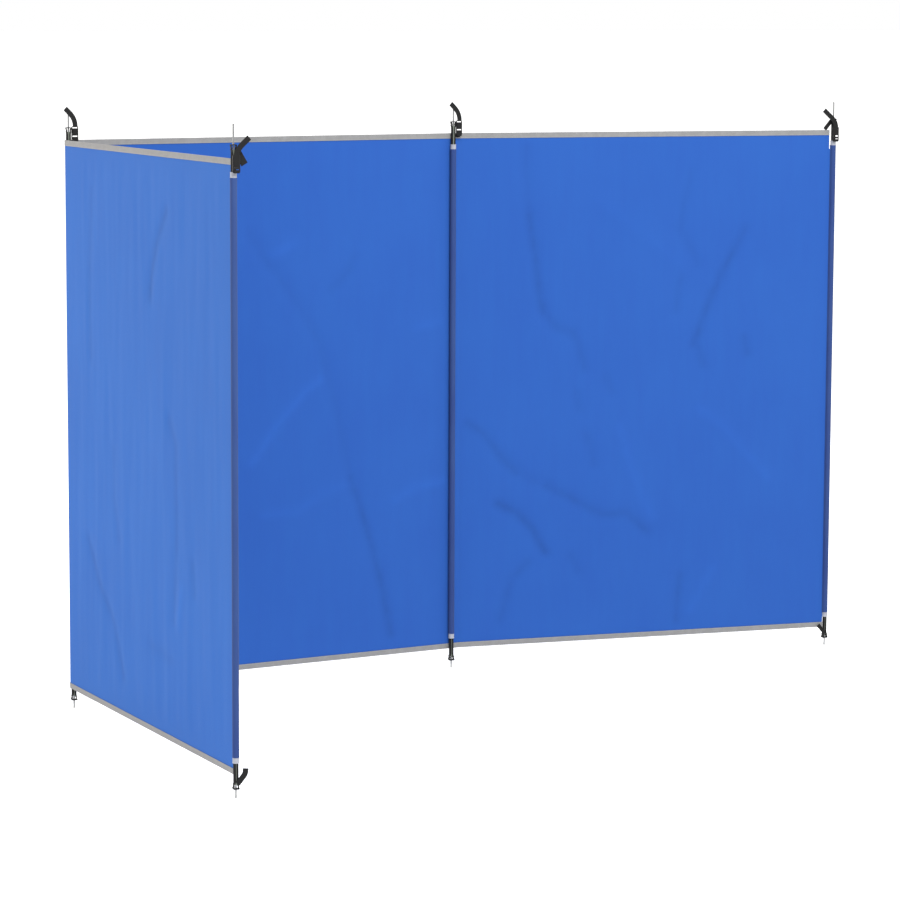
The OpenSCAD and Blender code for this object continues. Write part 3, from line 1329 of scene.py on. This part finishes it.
@dataclass(frozen=True)
class Sleeve:
    """The fabric tube round a pole, with the seam by which it is sewn to the cloth."""

    site: Site
    low: float
    high: float
    cloth_side: Side
    radius: float = 7.75 * MM
    thickness: float = 0.9 * MM
    seam: float = 1 * MM
    seam_cosine: float = 0.975
    hem: float = 12 * MM
    hem_flare: float = 1.03
    crumple: float = 0.5 * MM
    sides: int = 36
    rings: int = 90

    def build(self) -> Shape:
        """Model the sleeve on its pole.

        Returns:
            The finished tube.
        """
        tube = Shape.tube(f"{self.site.name}_sleeve_tube", self.radius, self.low, self.high, self.sides)
        tube.pick_edges(lambda a, b: abs(a.z - b.z) > self.hem)
        bpy.ops.mesh.subdivide(number_cuts=self.rings)
        for end in (self.low, self.high):
            tube.pick(lambda place: abs(place.z - end) < self.hem / 2)
            tube.resize((self.hem_flare, self.hem_flare, 1), (0, 0, end))
        angle = math.radians(self.cloth_side.value)
        toward = Vector((math.cos(angle), math.sin(angle), 0))
        tube.pick_faces(
            lambda place: Vector((place.x, place.y, 0)).normalized().dot(toward) > self.seam_cosine)
        tube.extrude(toward * self.seam)
        tube.unsettle(0.05, self.crumple, "NORMAL", layers=2, middle=0.6)
        tube.tidy()
        tube.map_uv(lambda place: (math.atan2(place.y, place.x) * self.radius, place.z))
        tube.thicken(self.thickness, -1)
        tube.smooth(50)
        return tube.place(self.site.matrix)


@dataclass(frozen=True)
class Bands:
    """The two bands of pale tape sewn round a sleeve's ends."""

    site: Site
    low: float
    high: float
    height: float = 16 * MM
    radius: float = 8.45 * MM
    thickness: float = 0.8 * MM
    lap: float = 0.5 * MM
    waist: float = 0.975
    sides: int = 36

    def build(self) -> Shape:
        """Model both bands on their pole.

        Returns:
            The two bands as one shape.
        """
        lower = self.band(self.low)
        upper = self.band(self.high - self.height)
        pair = lower.join(upper)
        pair.smooth(50)
        return pair.place(self.site.matrix)

    def band(self, foot: float) -> Shape:
        """Model one band, drawn in along its middle, with its end lapped over at the back.

        Args:
            foot: height of the band's lower edge.

        Returns:
            The finished band.
        """
        name = f"{self.site.name}_sleeve_bands"
        band = Shape.tube(name, self.radius, foot, foot + self.height, self.sides)
        band.pick_edges(lambda a, b: abs(a.z - b.z) > self.height / 2)
        bpy.ops.mesh.subdivide(number_cuts=7)
        middle = foot + self.height / 2
        band.pick(lambda place: abs(place.z - middle) < self.height * 0.3)
        band.resize((self.waist, self.waist, 1), (0, 0, middle))
        band.pick_faces(lambda place: place.y > 0 and abs(place.x) < self.radius * 0.3)
        band.extrude((0, self.lap, 0))
        band.tidy()
        band.map_uv(lambda place: (math.atan2(place.y, place.x) * self.radius, place.z - foot))
        band.thicken(self.thickness, -1)
        return band.soften(0.2 * MM)


# ---- Webbing, buckles and straps ------------------------------------------


@dataclass(frozen=True)
class PoleLoop:
    """Webbing folded over a pole's end: it hugs the pole, closes round the pin and folds flat.

    Heights are measured outward from the pole's end.
    """

    width: float = 16 * MM
    thickness: float = 1.9 * MM
    leg: float = 62 * MM
    leg_radius: float = 6 * MM
    curl_radius: float = 6.6 * MM
    flare: float = 10 * MM
    pinch: tuple[float, float] = (4.6 * MM, 3 * MM)
    fold: tuple[float, float] = (7.6 * MM, 11.4 * MM)
    shoulder: float = 1 * MM
    bend_radius: float = 2.4 * MM
    fold_radius: float = 1.2 * MM

    def build(self, name: str) -> Shape:
        """Model the loop on a pole that points up from the origin.

        Args:
            name: the object's name.

        Returns:
            The loop with both its legs.
        """
        inward = math.degrees(math.atan2(self.leg_radius - self.pinch[0], self.pinch[1] - self.shoulder))
        outward = math.degrees(math.atan2(self.fold[0] - self.pinch[0], self.fold[1] - self.pinch[1]))
        over = 90 + outward
        first, second = self.lost(self.bend_radius, inward), self.lost(self.bend_radius, inward + outward)
        third = self.lost(self.fold_radius, over)
        slope = math.hypot(self.leg_radius - self.pinch[0], self.pinch[1] - self.shoulder)
        rise = math.hypot(self.fold[0] - self.pinch[0], self.fold[1] - self.pinch[1])
        half = Ribbon(self.width, self.thickness, (
            Stretch(self.leg + self.shoulder - first),
            Stretch.arc(self.bend_radius, -inward),
            Stretch(max(0.3 * MM, slope - first - second)),
            Stretch.arc(self.bend_radius, inward + outward),
            Stretch(rise - second - third),
            Stretch.arc(self.fold_radius, -over),
            Stretch(self.fold[0] - third)), pitch=1 * MM, columns=8,
            curl_radius=self.curl_radius, curl_end=self.leg - 1 * MM, curl_fade=self.flare).lay(name)
        aside = Matrix.Rotation(math.pi / 2, 4, "Z")
        half.place(Matrix.Translation((self.leg_radius, 0, -self.leg)) @ aside)
        half.modify("MIRROR", use_axis=(True, False, False), merge_threshold=0.5 * MM)
        half.tidy()
        half.thicken(self.thickness)
        return half.soften(0.3 * MM)

    @staticmethod
    def lost(radius: float, angle: float) -> float:
        """Return the straight length that a rounded corner takes on each side of it."""
        return radius * math.tan(math.radians(angle) / 2)


@dataclass(frozen=True)
class FreeEnd:
    """The short end of webbing left over beside an end pole, on the side that its sign gives."""

    side: int
    lean: float
    stretches: tuple[Stretch, ...]
    width: float = 12 * MM
    thickness: float = 1.7 * MM
    start: tuple[float, float, float] = (1 * MM, -8.2 * MM, -3 * MM)

    def build(self, name: str) -> Shape:
        """Model the end beside a pole that points up from the origin.

        Args:
            name: the object's name.

        Returns:
            The finished end.
        """
        end = Ribbon(self.width, self.thickness, self.stretches).make(name)
        end.place(Matrix.Translation(self.start)
                  @ Matrix.Rotation(math.pi - math.radians(self.lean), 4, "Y"))
        if self.side < 0:
            end.place(Matrix.Scale(-1, 4, (1, 0, 0)))
            end.tidy()
        return end


FREE_ENDS = {
    ("left", "top"): FreeEnd(1, 31, (Stretch(45 * MM),), width=18 * MM, start=(6 * MM, 0, 2 * MM)),
    ("right", "top"): FreeEnd(-1, 39, (Stretch(34 * MM),), start=(7 * MM, 0, 6 * MM)),
    ("left", "foot"): FreeEnd(
        -1, 41, (Stretch(25 * MM), Stretch.arc(20 * MM, 34, Bend.SIDEWAYS), Stretch(8 * MM)),
        width=15 * MM),
    ("right", "foot"): FreeEnd(1, 42, (Stretch(36 * MM),))}


@dataclass(frozen=True)
class LadderBuckle:
    """A moulded ladder buckle, standing on z = 0 with its front face on y = 0."""

    width: float = 19.5 * MM
    height: float = 43 * MM
    depth: float = 3.2 * MM
    rim: float = 2 * MM
    corner: float = 3 * MM
    lower: tuple[float, float] = (4 * MM, 8.5 * MM)
    main: tuple[float, float] = (14 * MM, 20 * MM)
    upper: tuple[float, float] = (37.5 * MM, 41 * MM)
    grip: float = 0.5 * MM

    def build(self, name: str) -> Shape:
        """Model the buckle.

        Args:
            name: the object's name.

        Returns:
            The finished buckle.
        """
        plate = Shape.grid(name, self.width, self.height, 1, 1)
        plate.pick(lambda place: True).round_corners(self.corner, 4)
        half = self.width / 2 - self.rim
        for across in (-half, half):
            plate.cut((across, 0, 0), (1, 0, 0))
        slots = (self.lower, self.main, self.upper)
        for height in (limit for slot in slots for limit in slot):
            plate.cut((0, 0, height), (0, 0, 1))
        plate.pick_faces(lambda place: abs(place.x) < half and any(
            low < place.z < high for low, high in slots))
        plate.delete_faces()
        plate.pick_faces(lambda place: True).extrude((0, self.depth, 0))
        plate.tidy()
        plate.pick_faces(lambda place: place.y < CLOSE and abs(place.x) < half
                         and self.lower[1] < place.z < self.main[0])
        plate.extrude((0, -self.grip, 0))
        plate.resize((0.94, 1, 0.55), (0, 0, (self.lower[1] + self.main[0]) / 2))
        plate.soften(0.45 * MM, 3)
        return plate.smooth(35)


@dataclass(frozen=True)
class Strap:
    """The webbing on a buckle: each piece starts at a place behind and above the buckle's lower
    front edge."""

    pieces: tuple[tuple[Ribbon, tuple[float, float]], ...]
    side: int = -1

    def build(self, name: str, across: float, front: float, foot: float) -> Shape:
        """Model the strap on a buckle.

        Args:
            name: the object's name.
            across: where the buckle's middle is, along X.
            front: where the buckle's front face is, along Y.
            foot: height of the buckle's lower edge.

        Returns:
            All the pieces as one shape.
        """
        made = []
        for number, (ribbon, (behind, above)) in enumerate(self.pieces):
            piece = ribbon.make(name if not number else f"{name}_{number}")
            if self.side > 0:
                piece.place(Matrix.Scale(-1, 4, (1, 0, 0)))
                piece.tidy()
            made.append(piece.place(Matrix.Translation((across, front + behind, foot + above))))
        return made[0].join(*made[1:])


@dataclass(frozen=True)
class Fittings:
    """Where the buckles sit, and the straps that hold them."""

    side_buckle: tuple[float, float, float] = (18.5 * MM, -2.8 * MM, -6 * MM)
    end_buckle: tuple[float, float, float] = (3 * MM, -12.7 * MM, -34 * MM)
    webbing: float = 15 * MM
    tail_width: float = 14 * MM
    thickness: float = 1.7 * MM
    slot_radius: float = 1.3 * MM
    inside: float = 2.2 * MM
    low_in_slot: float = 15 * MM
    high_in_slot: float = 18.9 * MM
    left_run: float = 28 * MM
    right_run: float = 36 * MM

    def into_slot(self) -> Stretch:
        """Return the bend with which webbing turns backward into a slot or up out of one."""
        return Stretch.arc(self.slot_radius, -90)

    def side_strap(self) -> Strap:
        """Lay out the strap of a buckle beside a pole.

        Returns:
            The strap: a tab from the cloth, a fold round the bar and the long tail.
        """
        turn = self.into_slot()
        # Up from the tape, forward, up the buckle's front and back into its main slot.
        tab = Ribbon(self.webbing, self.thickness, (
            Stretch(3.6 * MM), Stretch.arc(1.5 * MM, 90), Stretch(7.9 * MM), Stretch.arc(1.5 * MM, -90),
            Stretch(11.8 * MM), turn, Stretch(3.4 * MM)), pitch=0.8 * MM)
        # Out of the main slot and up the front, with the end turned back.
        grip = Ribbon(self.webbing, 2.4 * MM, (
            Stretch(1.7 * MM), turn, Stretch(13.6 * MM), turn, Stretch(1.7 * MM)), lean=90, pitch=0.8 * MM)
        # From the upper slot upward and aside.
        tail = Ribbon(self.tail_width, self.thickness, (
            Stretch(3 * MM), Stretch.arc(48 * MM, -46, Bend.SIDEWAYS), Stretch(20 * MM)), pitch=1.1 * MM)
        return Strap((
            (tab, (10 * MM, -6 * MM)),
            (grip, (self.inside, self.high_in_slot)),
            (tail, (-0.95 * MM, 40.6 * MM))))

    def end_strap(self, side: int) -> Strap:
        """Lay out the strap of a buckle in front of an end pole.

        Args:
            side: 1 if the tail curves to the right, and -1 if it curves to the left.

        Returns:
            The strap: a tab from the sleeve and the long tail.
        """
        turn, over = self.into_slot(), Stretch.arc(self.slot_radius, 90)
        # Up behind the lower bar, forward through the lowest slot and down the front.
        tab = Ribbon(self.webbing, self.thickness, (
            Stretch(4.6 * MM), over, Stretch(2.5 * MM), over, Stretch(5 * MM)), pitch=0.8 * MM)
        # Out of the main slot, up the front and aside.
        tail = Ribbon(self.tail_width, self.thickness, (
            Stretch(1.7 * MM), turn, Stretch(20 * MM), Stretch.arc(40 * MM, -47, Bend.SIDEWAYS),
            Stretch(self.left_run if side > 0 else self.right_run)), lean=90, pitch=1.1 * MM)
        above = self.low_in_slot if side > 0 else self.high_in_slot
        return Strap(((tab, (4.2 * MM, 0.4 * MM)), (tail, (self.inside, above))), side=side)


# ---- The whole object -----------------------------------------------------


# A crease's places are shares of its panel's width, from the near pole, and of its height.
# The second number of a crease is its painted shade; below 0 it is a painted highlight along a ridge.
CENTRE_CREASES = (
    Crease(((0.45, 0.82), (0.48, 0.78), (0.56, 0.70), (0.63, 0.61), (0.65, 0.54), (0.68, 0.46),
            (0.71, 0.35)), 0.12, -1.6 * MM),
    Crease(((0.71, 0.35), (0.75, 0.26), (0.79, 0.15), (0.82, 0.04)), 0.34, -2.2 * MM),
    Crease(((0.45, 0.39), (0.52, 0.46), (0.59, 0.52), (0.63, 0.54)), -0.22, 1.8 * MM, 36 * MM),
    Crease(((0.48, 0.29), (0.57, 0.29), (0.63, 0.32), (0.71, 0.34)), -0.12, 1.4 * MM),
    Crease(((0.83, 0.30), (0.88, 0.32), (0.96, 0.33)), -0.18, 1.6 * MM, 34 * MM),
    Crease(((0.51, 0.78), (0.56, 0.80)), -0.18, 1.4 * MM),
    Crease(((0.66, 0.71), (0.70, 0.74), (0.72, 0.77)), 0.14, -1.4 * MM),
    Crease(((0.89, 0.63), (0.95, 0.64)), -0.12, 1.2 * MM),
    Crease(((0.10, 0.30), (0.22, 0.42), (0.36, 0.47)), -0.14, 1.8 * MM, 40 * MM),
    Crease(((0.12, 0.80), (0.20, 0.66), (0.33, 0.60)), 0.16, -1.8 * MM),
)

RIGHT_CREASES = (
    Crease(((0.17, 0.97), (0.18, 0.84)), 0.14, -1.2 * MM),
    Crease(((0.18, 0.84), (0.20, 0.75), (0.21, 0.68), (0.22, 0.65)), 0.34, -2.0 * MM),
    Crease(((0.22, 0.65), (0.26, 0.62), (0.30, 0.61), (0.32, 0.58), (0.33, 0.54)), 0.24, -1.8 * MM),
    Crease(((0.62, 0.92), (0.60, 0.86), (0.59, 0.81), (0.62, 0.77), (0.64, 0.74)), 0.15, -1.6 * MM),
    Crease(((0.77, 0.81), (0.75, 0.78)), 0.24, -1.2 * MM),
    Crease(((0.74, 0.77), (0.72, 0.74), (0.68, 0.68), (0.65, 0.62), (0.63, 0.58)), 0.32, -2.0 * MM),
    Crease(((0.59, 0.71), (0.58, 0.65)), 0.16, -1.4 * MM, 36 * MM),
    Crease(((0.64, 0.58), (0.66, 0.54)), 0.24, -1.4 * MM),
    Crease(((0.02, 0.44), (0.06, 0.42), (0.11, 0.37), (0.15, 0.34)), 0.28, -2.0 * MM),
    Crease(((0.15, 0.34), (0.23, 0.31)), 0.12, -1.6 * MM),
    Crease(((0.23, 0.31), (0.31, 0.28), (0.38, 0.25), (0.45, 0.25), (0.51, 0.21)), 0.28, -2.0 * MM),
    Crease(((0.10, 0.28), (0.15, 0.26), (0.19, 0.23), (0.23, 0.18)), 0.42, -2.4 * MM, 34 * MM),
    Crease(((0.18, 0.16), (0.14, 0.13), (0.12, 0.08), (0.11, 0.05)), 0.22, -1.4 * MM),
    Crease(((0.60, 0.12), (0.59, 0.03)), 0.28, -1.4 * MM),
    Crease(((0.31, 0.49), (0.32, 0.46)), 0.18, -1.2 * MM),
    Crease(((0.34, 0.41), (0.36, 0.35)), 0.18, -1.2 * MM),
    Crease(((0.39, 0.52), (0.41, 0.49)), 0.16, -1.2 * MM),
    Crease(((0.30, 0.17), (0.32, 0.14)), 0.18, -1.2 * MM),
    Crease(((0.77, 0.59), (0.78, 0.56)), 0.24, -1.2 * MM),
    Crease(((0.43, 0.42), (0.46, 0.34), (0.50, 0.27), (0.52, 0.24)), -0.15, 1.4 * MM),
    Crease(((0.65, 0.45), (0.71, 0.42), (0.78, 0.36), (0.84, 0.31)), -0.14, 1.6 * MM, 36 * MM),
    Crease(((0.37, 0.87), (0.51, 0.79), (0.59, 0.74)), -0.05, 1.4 * MM, 50 * MM),
    Crease(((0.63, 0.05), (0.69, 0.13)), -0.16, 1.2 * MM),
)

LEFT_CREASES = (
    Crease(((0.63, 0.90), (0.57, 0.84), (0.54, 0.79), (0.53, 0.75)), 0.40, -2.2 * MM),
    Crease(((0.17, 0.92), (0.15, 0.75), (0.16, 0.62)), 0.20, -1.4 * MM),
    Crease(((0.30, 0.47), (0.30, 0.38), (0.33, 0.31)), 0.20, -1.6 * MM),
    Crease(((0.13, 0.29), (0.20, 0.22), (0.29, 0.16), (0.35, 0.07)), 0.32, -2.0 * MM),
    Crease(((0.64, 0.55), (0.68, 0.51), (0.68, 0.35), (0.66, 0.21)), 0.26, -1.8 * MM),
    Crease(((0.77, 0.32), (0.78, 0.27)), 0.26, -1.6 * MM),
    Crease(((0.51, 0.15), (0.65, 0.14)), 0.16, -1.4 * MM),
    Crease(((0.69, 0.21), (0.71, 0.27)), -0.20, 1.4 * MM),
)


class Windbreak:
    """Builds the windbreak's pieces on the frame."""

    wall = 9.7 * MM  # the cloth's middle plane behind the corner and middle poles
    cloth_inset = 1 * MM  # from the tape's fold to the cloth's edge
    wind_ripple = 5 * MM  # how deep the left bay ripples
    hem_gap = 12.8 * MM
    foot_hem = 4.5 * MM  # how much nearer to an end pole the cloth comes at its foot
    sleeve_radius = 8.3 * MM
    sleeve_hem = 2 * MM  # how far a sleeve shows past its bands
    fold_start = 4 * MM
    loop_facing = math.radians(15)  # the loops all open to one side of straight ahead

    def __init__(self, layout: Layout, finishes: Finishes) -> None:
        """Work out the three bays' runs.

        Args:
            layout: the frame's places.
            finishes: the made materials.
        """
        self.layout = layout
        self.finishes = finishes
        span = (layout.middle("pole_middle") - layout.middle("pole_corner")).length
        right_pole = layout.within(layout.right_bay, "pole_right")
        self.right = Run(layout.right_bay, self.fold_start, right_pole.x - self.hem_gap,
                         layout.within(layout.right_bay, "cloth_right").y, Near.ACROSS_FOLD,
                         layout.wing_turn)
        self.left = Run(layout.left_bay, 0, span - self.hem_gap, -self.wall, Near.ROUND_CORNER,
                        math.pi - layout.corner_angle)
        fold = layout.centre_bay.matrix.inverted() @ self.right.ends()[0]
        self.centre = Run(layout.centre_bay, 0, fold.x, self.wall, Near.PLAIN)
        self.span = span

    def stand_for(self, shape: Shape, look: Finish, node: str) -> None:
        """Dress a placed shape and hide the CAD node that it stands for.

        Args:
            shape: the shape, in the frame.
            look: its finish.
            node: the CAD node's name.
        """
        look.dress(shape.thing)
        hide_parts(node)
        LOG.info("%s: %d faces", shape.thing.name, len(shape.thing.data.polygons))

    def mount(self, shape: Shape, site: Site, look: Finish, node: str) -> None:
        """Finish a placed shape that rides on its site's body.

        Args:
            shape: the shape, in the frame.
            site: where it belongs.
            look: its finish.
            node: the CAD node's name.
        """
        self.stand_for(shape, look, node)
        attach(shape.thing, site.body)

    def build_cloth(self) -> None:
        """Build the three panels and their tapes."""
        layout = self.layout
        low, high = layout.cloth_bottom + self.cloth_inset, layout.cloth_top - self.cloth_inset
        panels = (
            Panel(self.left, low, high, LEFT_CREASES, ripple=self.wind_ripple,
                  hem_end=self.span - self.sleeve_radius),
            Panel(self.centre, low, high, CENTRE_CREASES),
            Panel(self.right, low, high, RIGHT_CREASES,
                  hem_end=layout.within(layout.right_bay, "pole_right").x - self.sleeve_radius))
        for panel in panels:
            run = panel.run
            longer = replace(run, end=run.end + self.foot_hem) if panel.hem_end else run
            for edge, up, place in ((layout.cloth_top, 1, "top"), (layout.cloth_bottom, -1, "bottom")):
                reach = run if up > 0 else longer
                tape = Binding(reach, f"{place}_binding_{run.bay.name}", edge, up).build()
                run.hang(tape)
                self.stand_for(tape, self.finishes.tape, f"{place}_tape_{run.bay.name}")
            sheet = panel.build()
            run.hang(sheet)
            self.stand_for(sheet, self.finishes.cloth, f"cloth_{run.bay.name}")
            flat = (run.end - run.start, high - low)

    def build_sleeves(self) -> None:
        """Build the four sleeves and their bands."""
        layout = self.layout
        for site in layout.poles:
            side = Side.BEFORE_X if site is layout.right_pole else Side.BEHIND
            low, high = layout.sleeve_bottom - self.sleeve_hem, layout.sleeve_top + self.sleeve_hem
            tube = Sleeve(site, low, high, side).build()
            self.mount(tube, site, self.finishes.sleeve, f"sleeve_{site.name}")
            bands = Bands(site, layout.bands_bottom, layout.bands_top).build()
            self.mount(bands, site, self.finishes.band, f"sleeve_bands_{site.name}")

    def build_loops(self) -> None:
        """Build the webbing loops over both ends of every pole."""
        layout = self.layout
        patterns = {1: PoleLoop(width=13.5 * MM, fold=(6.8 * MM, 11.6 * MM)).build("top_pattern"),
                    -1: PoleLoop().build("foot_pattern")}
        for site in layout.poles:
            for up, end, place in ((1, layout.pole_top, "top"), (-1, layout.pole_bottom, "foot")):
                loop = patterns[up].copy(f"{place}_webbing_{site.name}")
                loop.place(Matrix.Rotation(-up * (self.loop_facing + site.heading), 4, "Z"))
                free = FREE_ENDS.get((site.name, place))
                if free:
                    loop.join(free.build(f"{place}_free_end"))
                turned = Matrix.Identity(4) if up > 0 else Matrix.Rotation(math.pi, 4, "Y")
                loop.place(site.matrix @ Matrix.Translation((0, 0, end)) @ turned)
                loop.smooth(45)
                self.mount(loop, site, self.finishes.webbing, f"{place}_loop_{site.name}")
        for pattern in patterns.values():
            pattern.discard()

    def build_fittings(self) -> None:
        """Build the buckles and their straps."""
        layout, fittings = self.layout, Fittings()
        pattern = LadderBuckle().build("buckle_pattern")
        for site in layout.poles:
            at_end = site in (layout.left_pole, layout.right_pole)
            across, front, drop = fittings.end_buckle if at_end else fittings.side_buckle
            foot = layout.cloth_top + drop
            buckle = pattern.copy(f"ladder_buckle_{site.name}")
            buckle.place(site.matrix @ Matrix.Translation((across, front, foot)))
            self.mount(buckle, site, self.finishes.buckle, f"buckle_{site.name}")
            side = 1 if site is layout.left_pole else -1
            strap = fittings.end_strap(side) if at_end else fittings.side_strap()
            made = strap.build(f"strap_{site.name}", across, front, foot)
            made.place(site.matrix)
            made.smooth(45)
            self.mount(made, site, self.finishes.webbing, f"tension_strap_{site.name}")
        pattern.discard()

    def dress_metal(self, nodes: dict[str, bpy.types.Object]) -> None:
        """Finish the poles and pins, which keep their CAD shape.

        Args:
            nodes: the CAD nodes' objects by name.
        """
        for name, node in nodes.items():
            if name.startswith("pole_"):
                self.finishes.pole.dress(node)
            elif name.startswith(("top_pin_", "ground_pin_")):
                self.finishes.pin.dress(node)


# ---- Studio ---------------------------------------------------------------


@dataclass(frozen=True)
class Light:
    """A soft rectangular studio light."""

    name: str
    place: tuple[float, float, float]
    aim: tuple[float, float, float]
    size: float
    power: float
    colour: tuple[float, float, float] = (1.0, 1.0, 1.0)

    def build(self) -> bpy.types.Object:
        """Add the light.

        Returns:
            The lamp.
        """
        data = bpy.data.lights.new(self.name, "AREA")
        data.shape = "SQUARE"
        data.size = self.size
        data.energy = self.power
        data.color = self.colour
        lamp = bpy.data.objects.new(self.name, data)
        bpy.context.scene.collection.objects.link(lamp)
        place, aim = Vector(self.place), Vector(self.aim)
        lamp.location = place
        lamp.rotation_mode = "QUATERNION"
        lamp.rotation_quaternion = (aim - place).to_track_quat("-Z", "Y")
        return lamp


@dataclass(frozen=True)
class Studio:
    """The pale floor, the lights and the camera."""

    eye: tuple[float, float, float] = (-5.0885, -8.7211, 1.9505)
    yaw: float = 30.229
    pitch: float = 7.34
    roll: float = 0.227
    lens: float = 138.66
    key: Light = Light("key", (-0.9, -5.6, 7.0), (0.1, -0.1, 0.8), 3.0, 820)
    side: Light = Light(
        "side", (-6.6, 6.0, 2.9), (-1.27, -0.6, 0.8), 3.0, 520, (1.0, 0.93, 0.85))
    floor_size: float = 400
    floor_glow: float = 0.5
    world_light: float = 1.0

    def build(self) -> None:
        """Set up everything round the object."""
        scene = bpy.context.scene
        scene.view_settings.view_transform = "Standard"
        self.build_floor()
        self.build_world()
        self.key.build()
        self.side.build()
        self.build_camera()

    def build_floor(self) -> None:
        """Add the floor under the pins' tips."""
        bpy.ops.object.select_all(action="DESELECT")
        bpy.ops.mesh.primitive_plane_add(size=self.floor_size)
        floor = bpy.context.object
        floor.name = "floor"
        paint = Paint("pale_floor")
        paint.set(Base_Color=srgb(236, 236, 236), Roughness=0.9,
                  Emission_Color=(1.0, 1.0, 1.0, 1.0), Emission_Strength=self.floor_glow)
        floor.data.materials.append(paint.material)

    def build_world(self) -> None:
        """Light the scene evenly from all round."""
        world = bpy.data.worlds.new("studio")
        world.use_nodes = True
        background = world.node_tree.nodes["Background"]
        background.inputs["Color"].default_value = (1.0, 1.0, 1.0, 1.0)
        background.inputs["Strength"].default_value = self.world_light
        bpy.context.scene.world = world

    def build_camera(self) -> None:
        """Add the camera."""
        data = bpy.data.cameras.new("camera")
        data.lens = self.lens
        data.sensor_width = 36
        data.clip_end = 1000
        camera = bpy.data.objects.new("camera", data)
        bpy.context.scene.collection.objects.link(camera)
        yaw, pitch, roll = math.radians(self.yaw), math.radians(self.pitch), math.radians(self.roll)
        forward = Vector((math.sin(yaw), math.cos(yaw), 0)) * math.cos(pitch)
        forward.z = -math.sin(pitch)
        level = forward.cross(Vector((0, 0, 1))).normalized()
        upright = level.cross(forward)
        right = level * math.cos(roll) + upright * math.sin(roll)
        up = right.cross(forward)
        turned = Matrix((right, up, -forward)).transposed().to_4x4()
        camera.matrix_world = Matrix.Translation(self.eye) @ turned
        bpy.context.scene.camera = camera


def main(frame: dict[str, object]) -> None:
    """Build the whole scene.
    """
    logging.basicConfig(level=logging.INFO, format="%(message)s")
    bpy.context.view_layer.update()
    layout = Layout(frame)
    windbreak = Windbreak(layout, Finishes())
    windbreak.build_cloth()
    windbreak.build_sleeves()
    windbreak.build_loops()
    windbreak.build_fittings()
    windbreak.dress_metal(frame["nodes"])
    Studio().build()
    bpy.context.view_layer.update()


if __name__ == "__main__":
    main(frame)
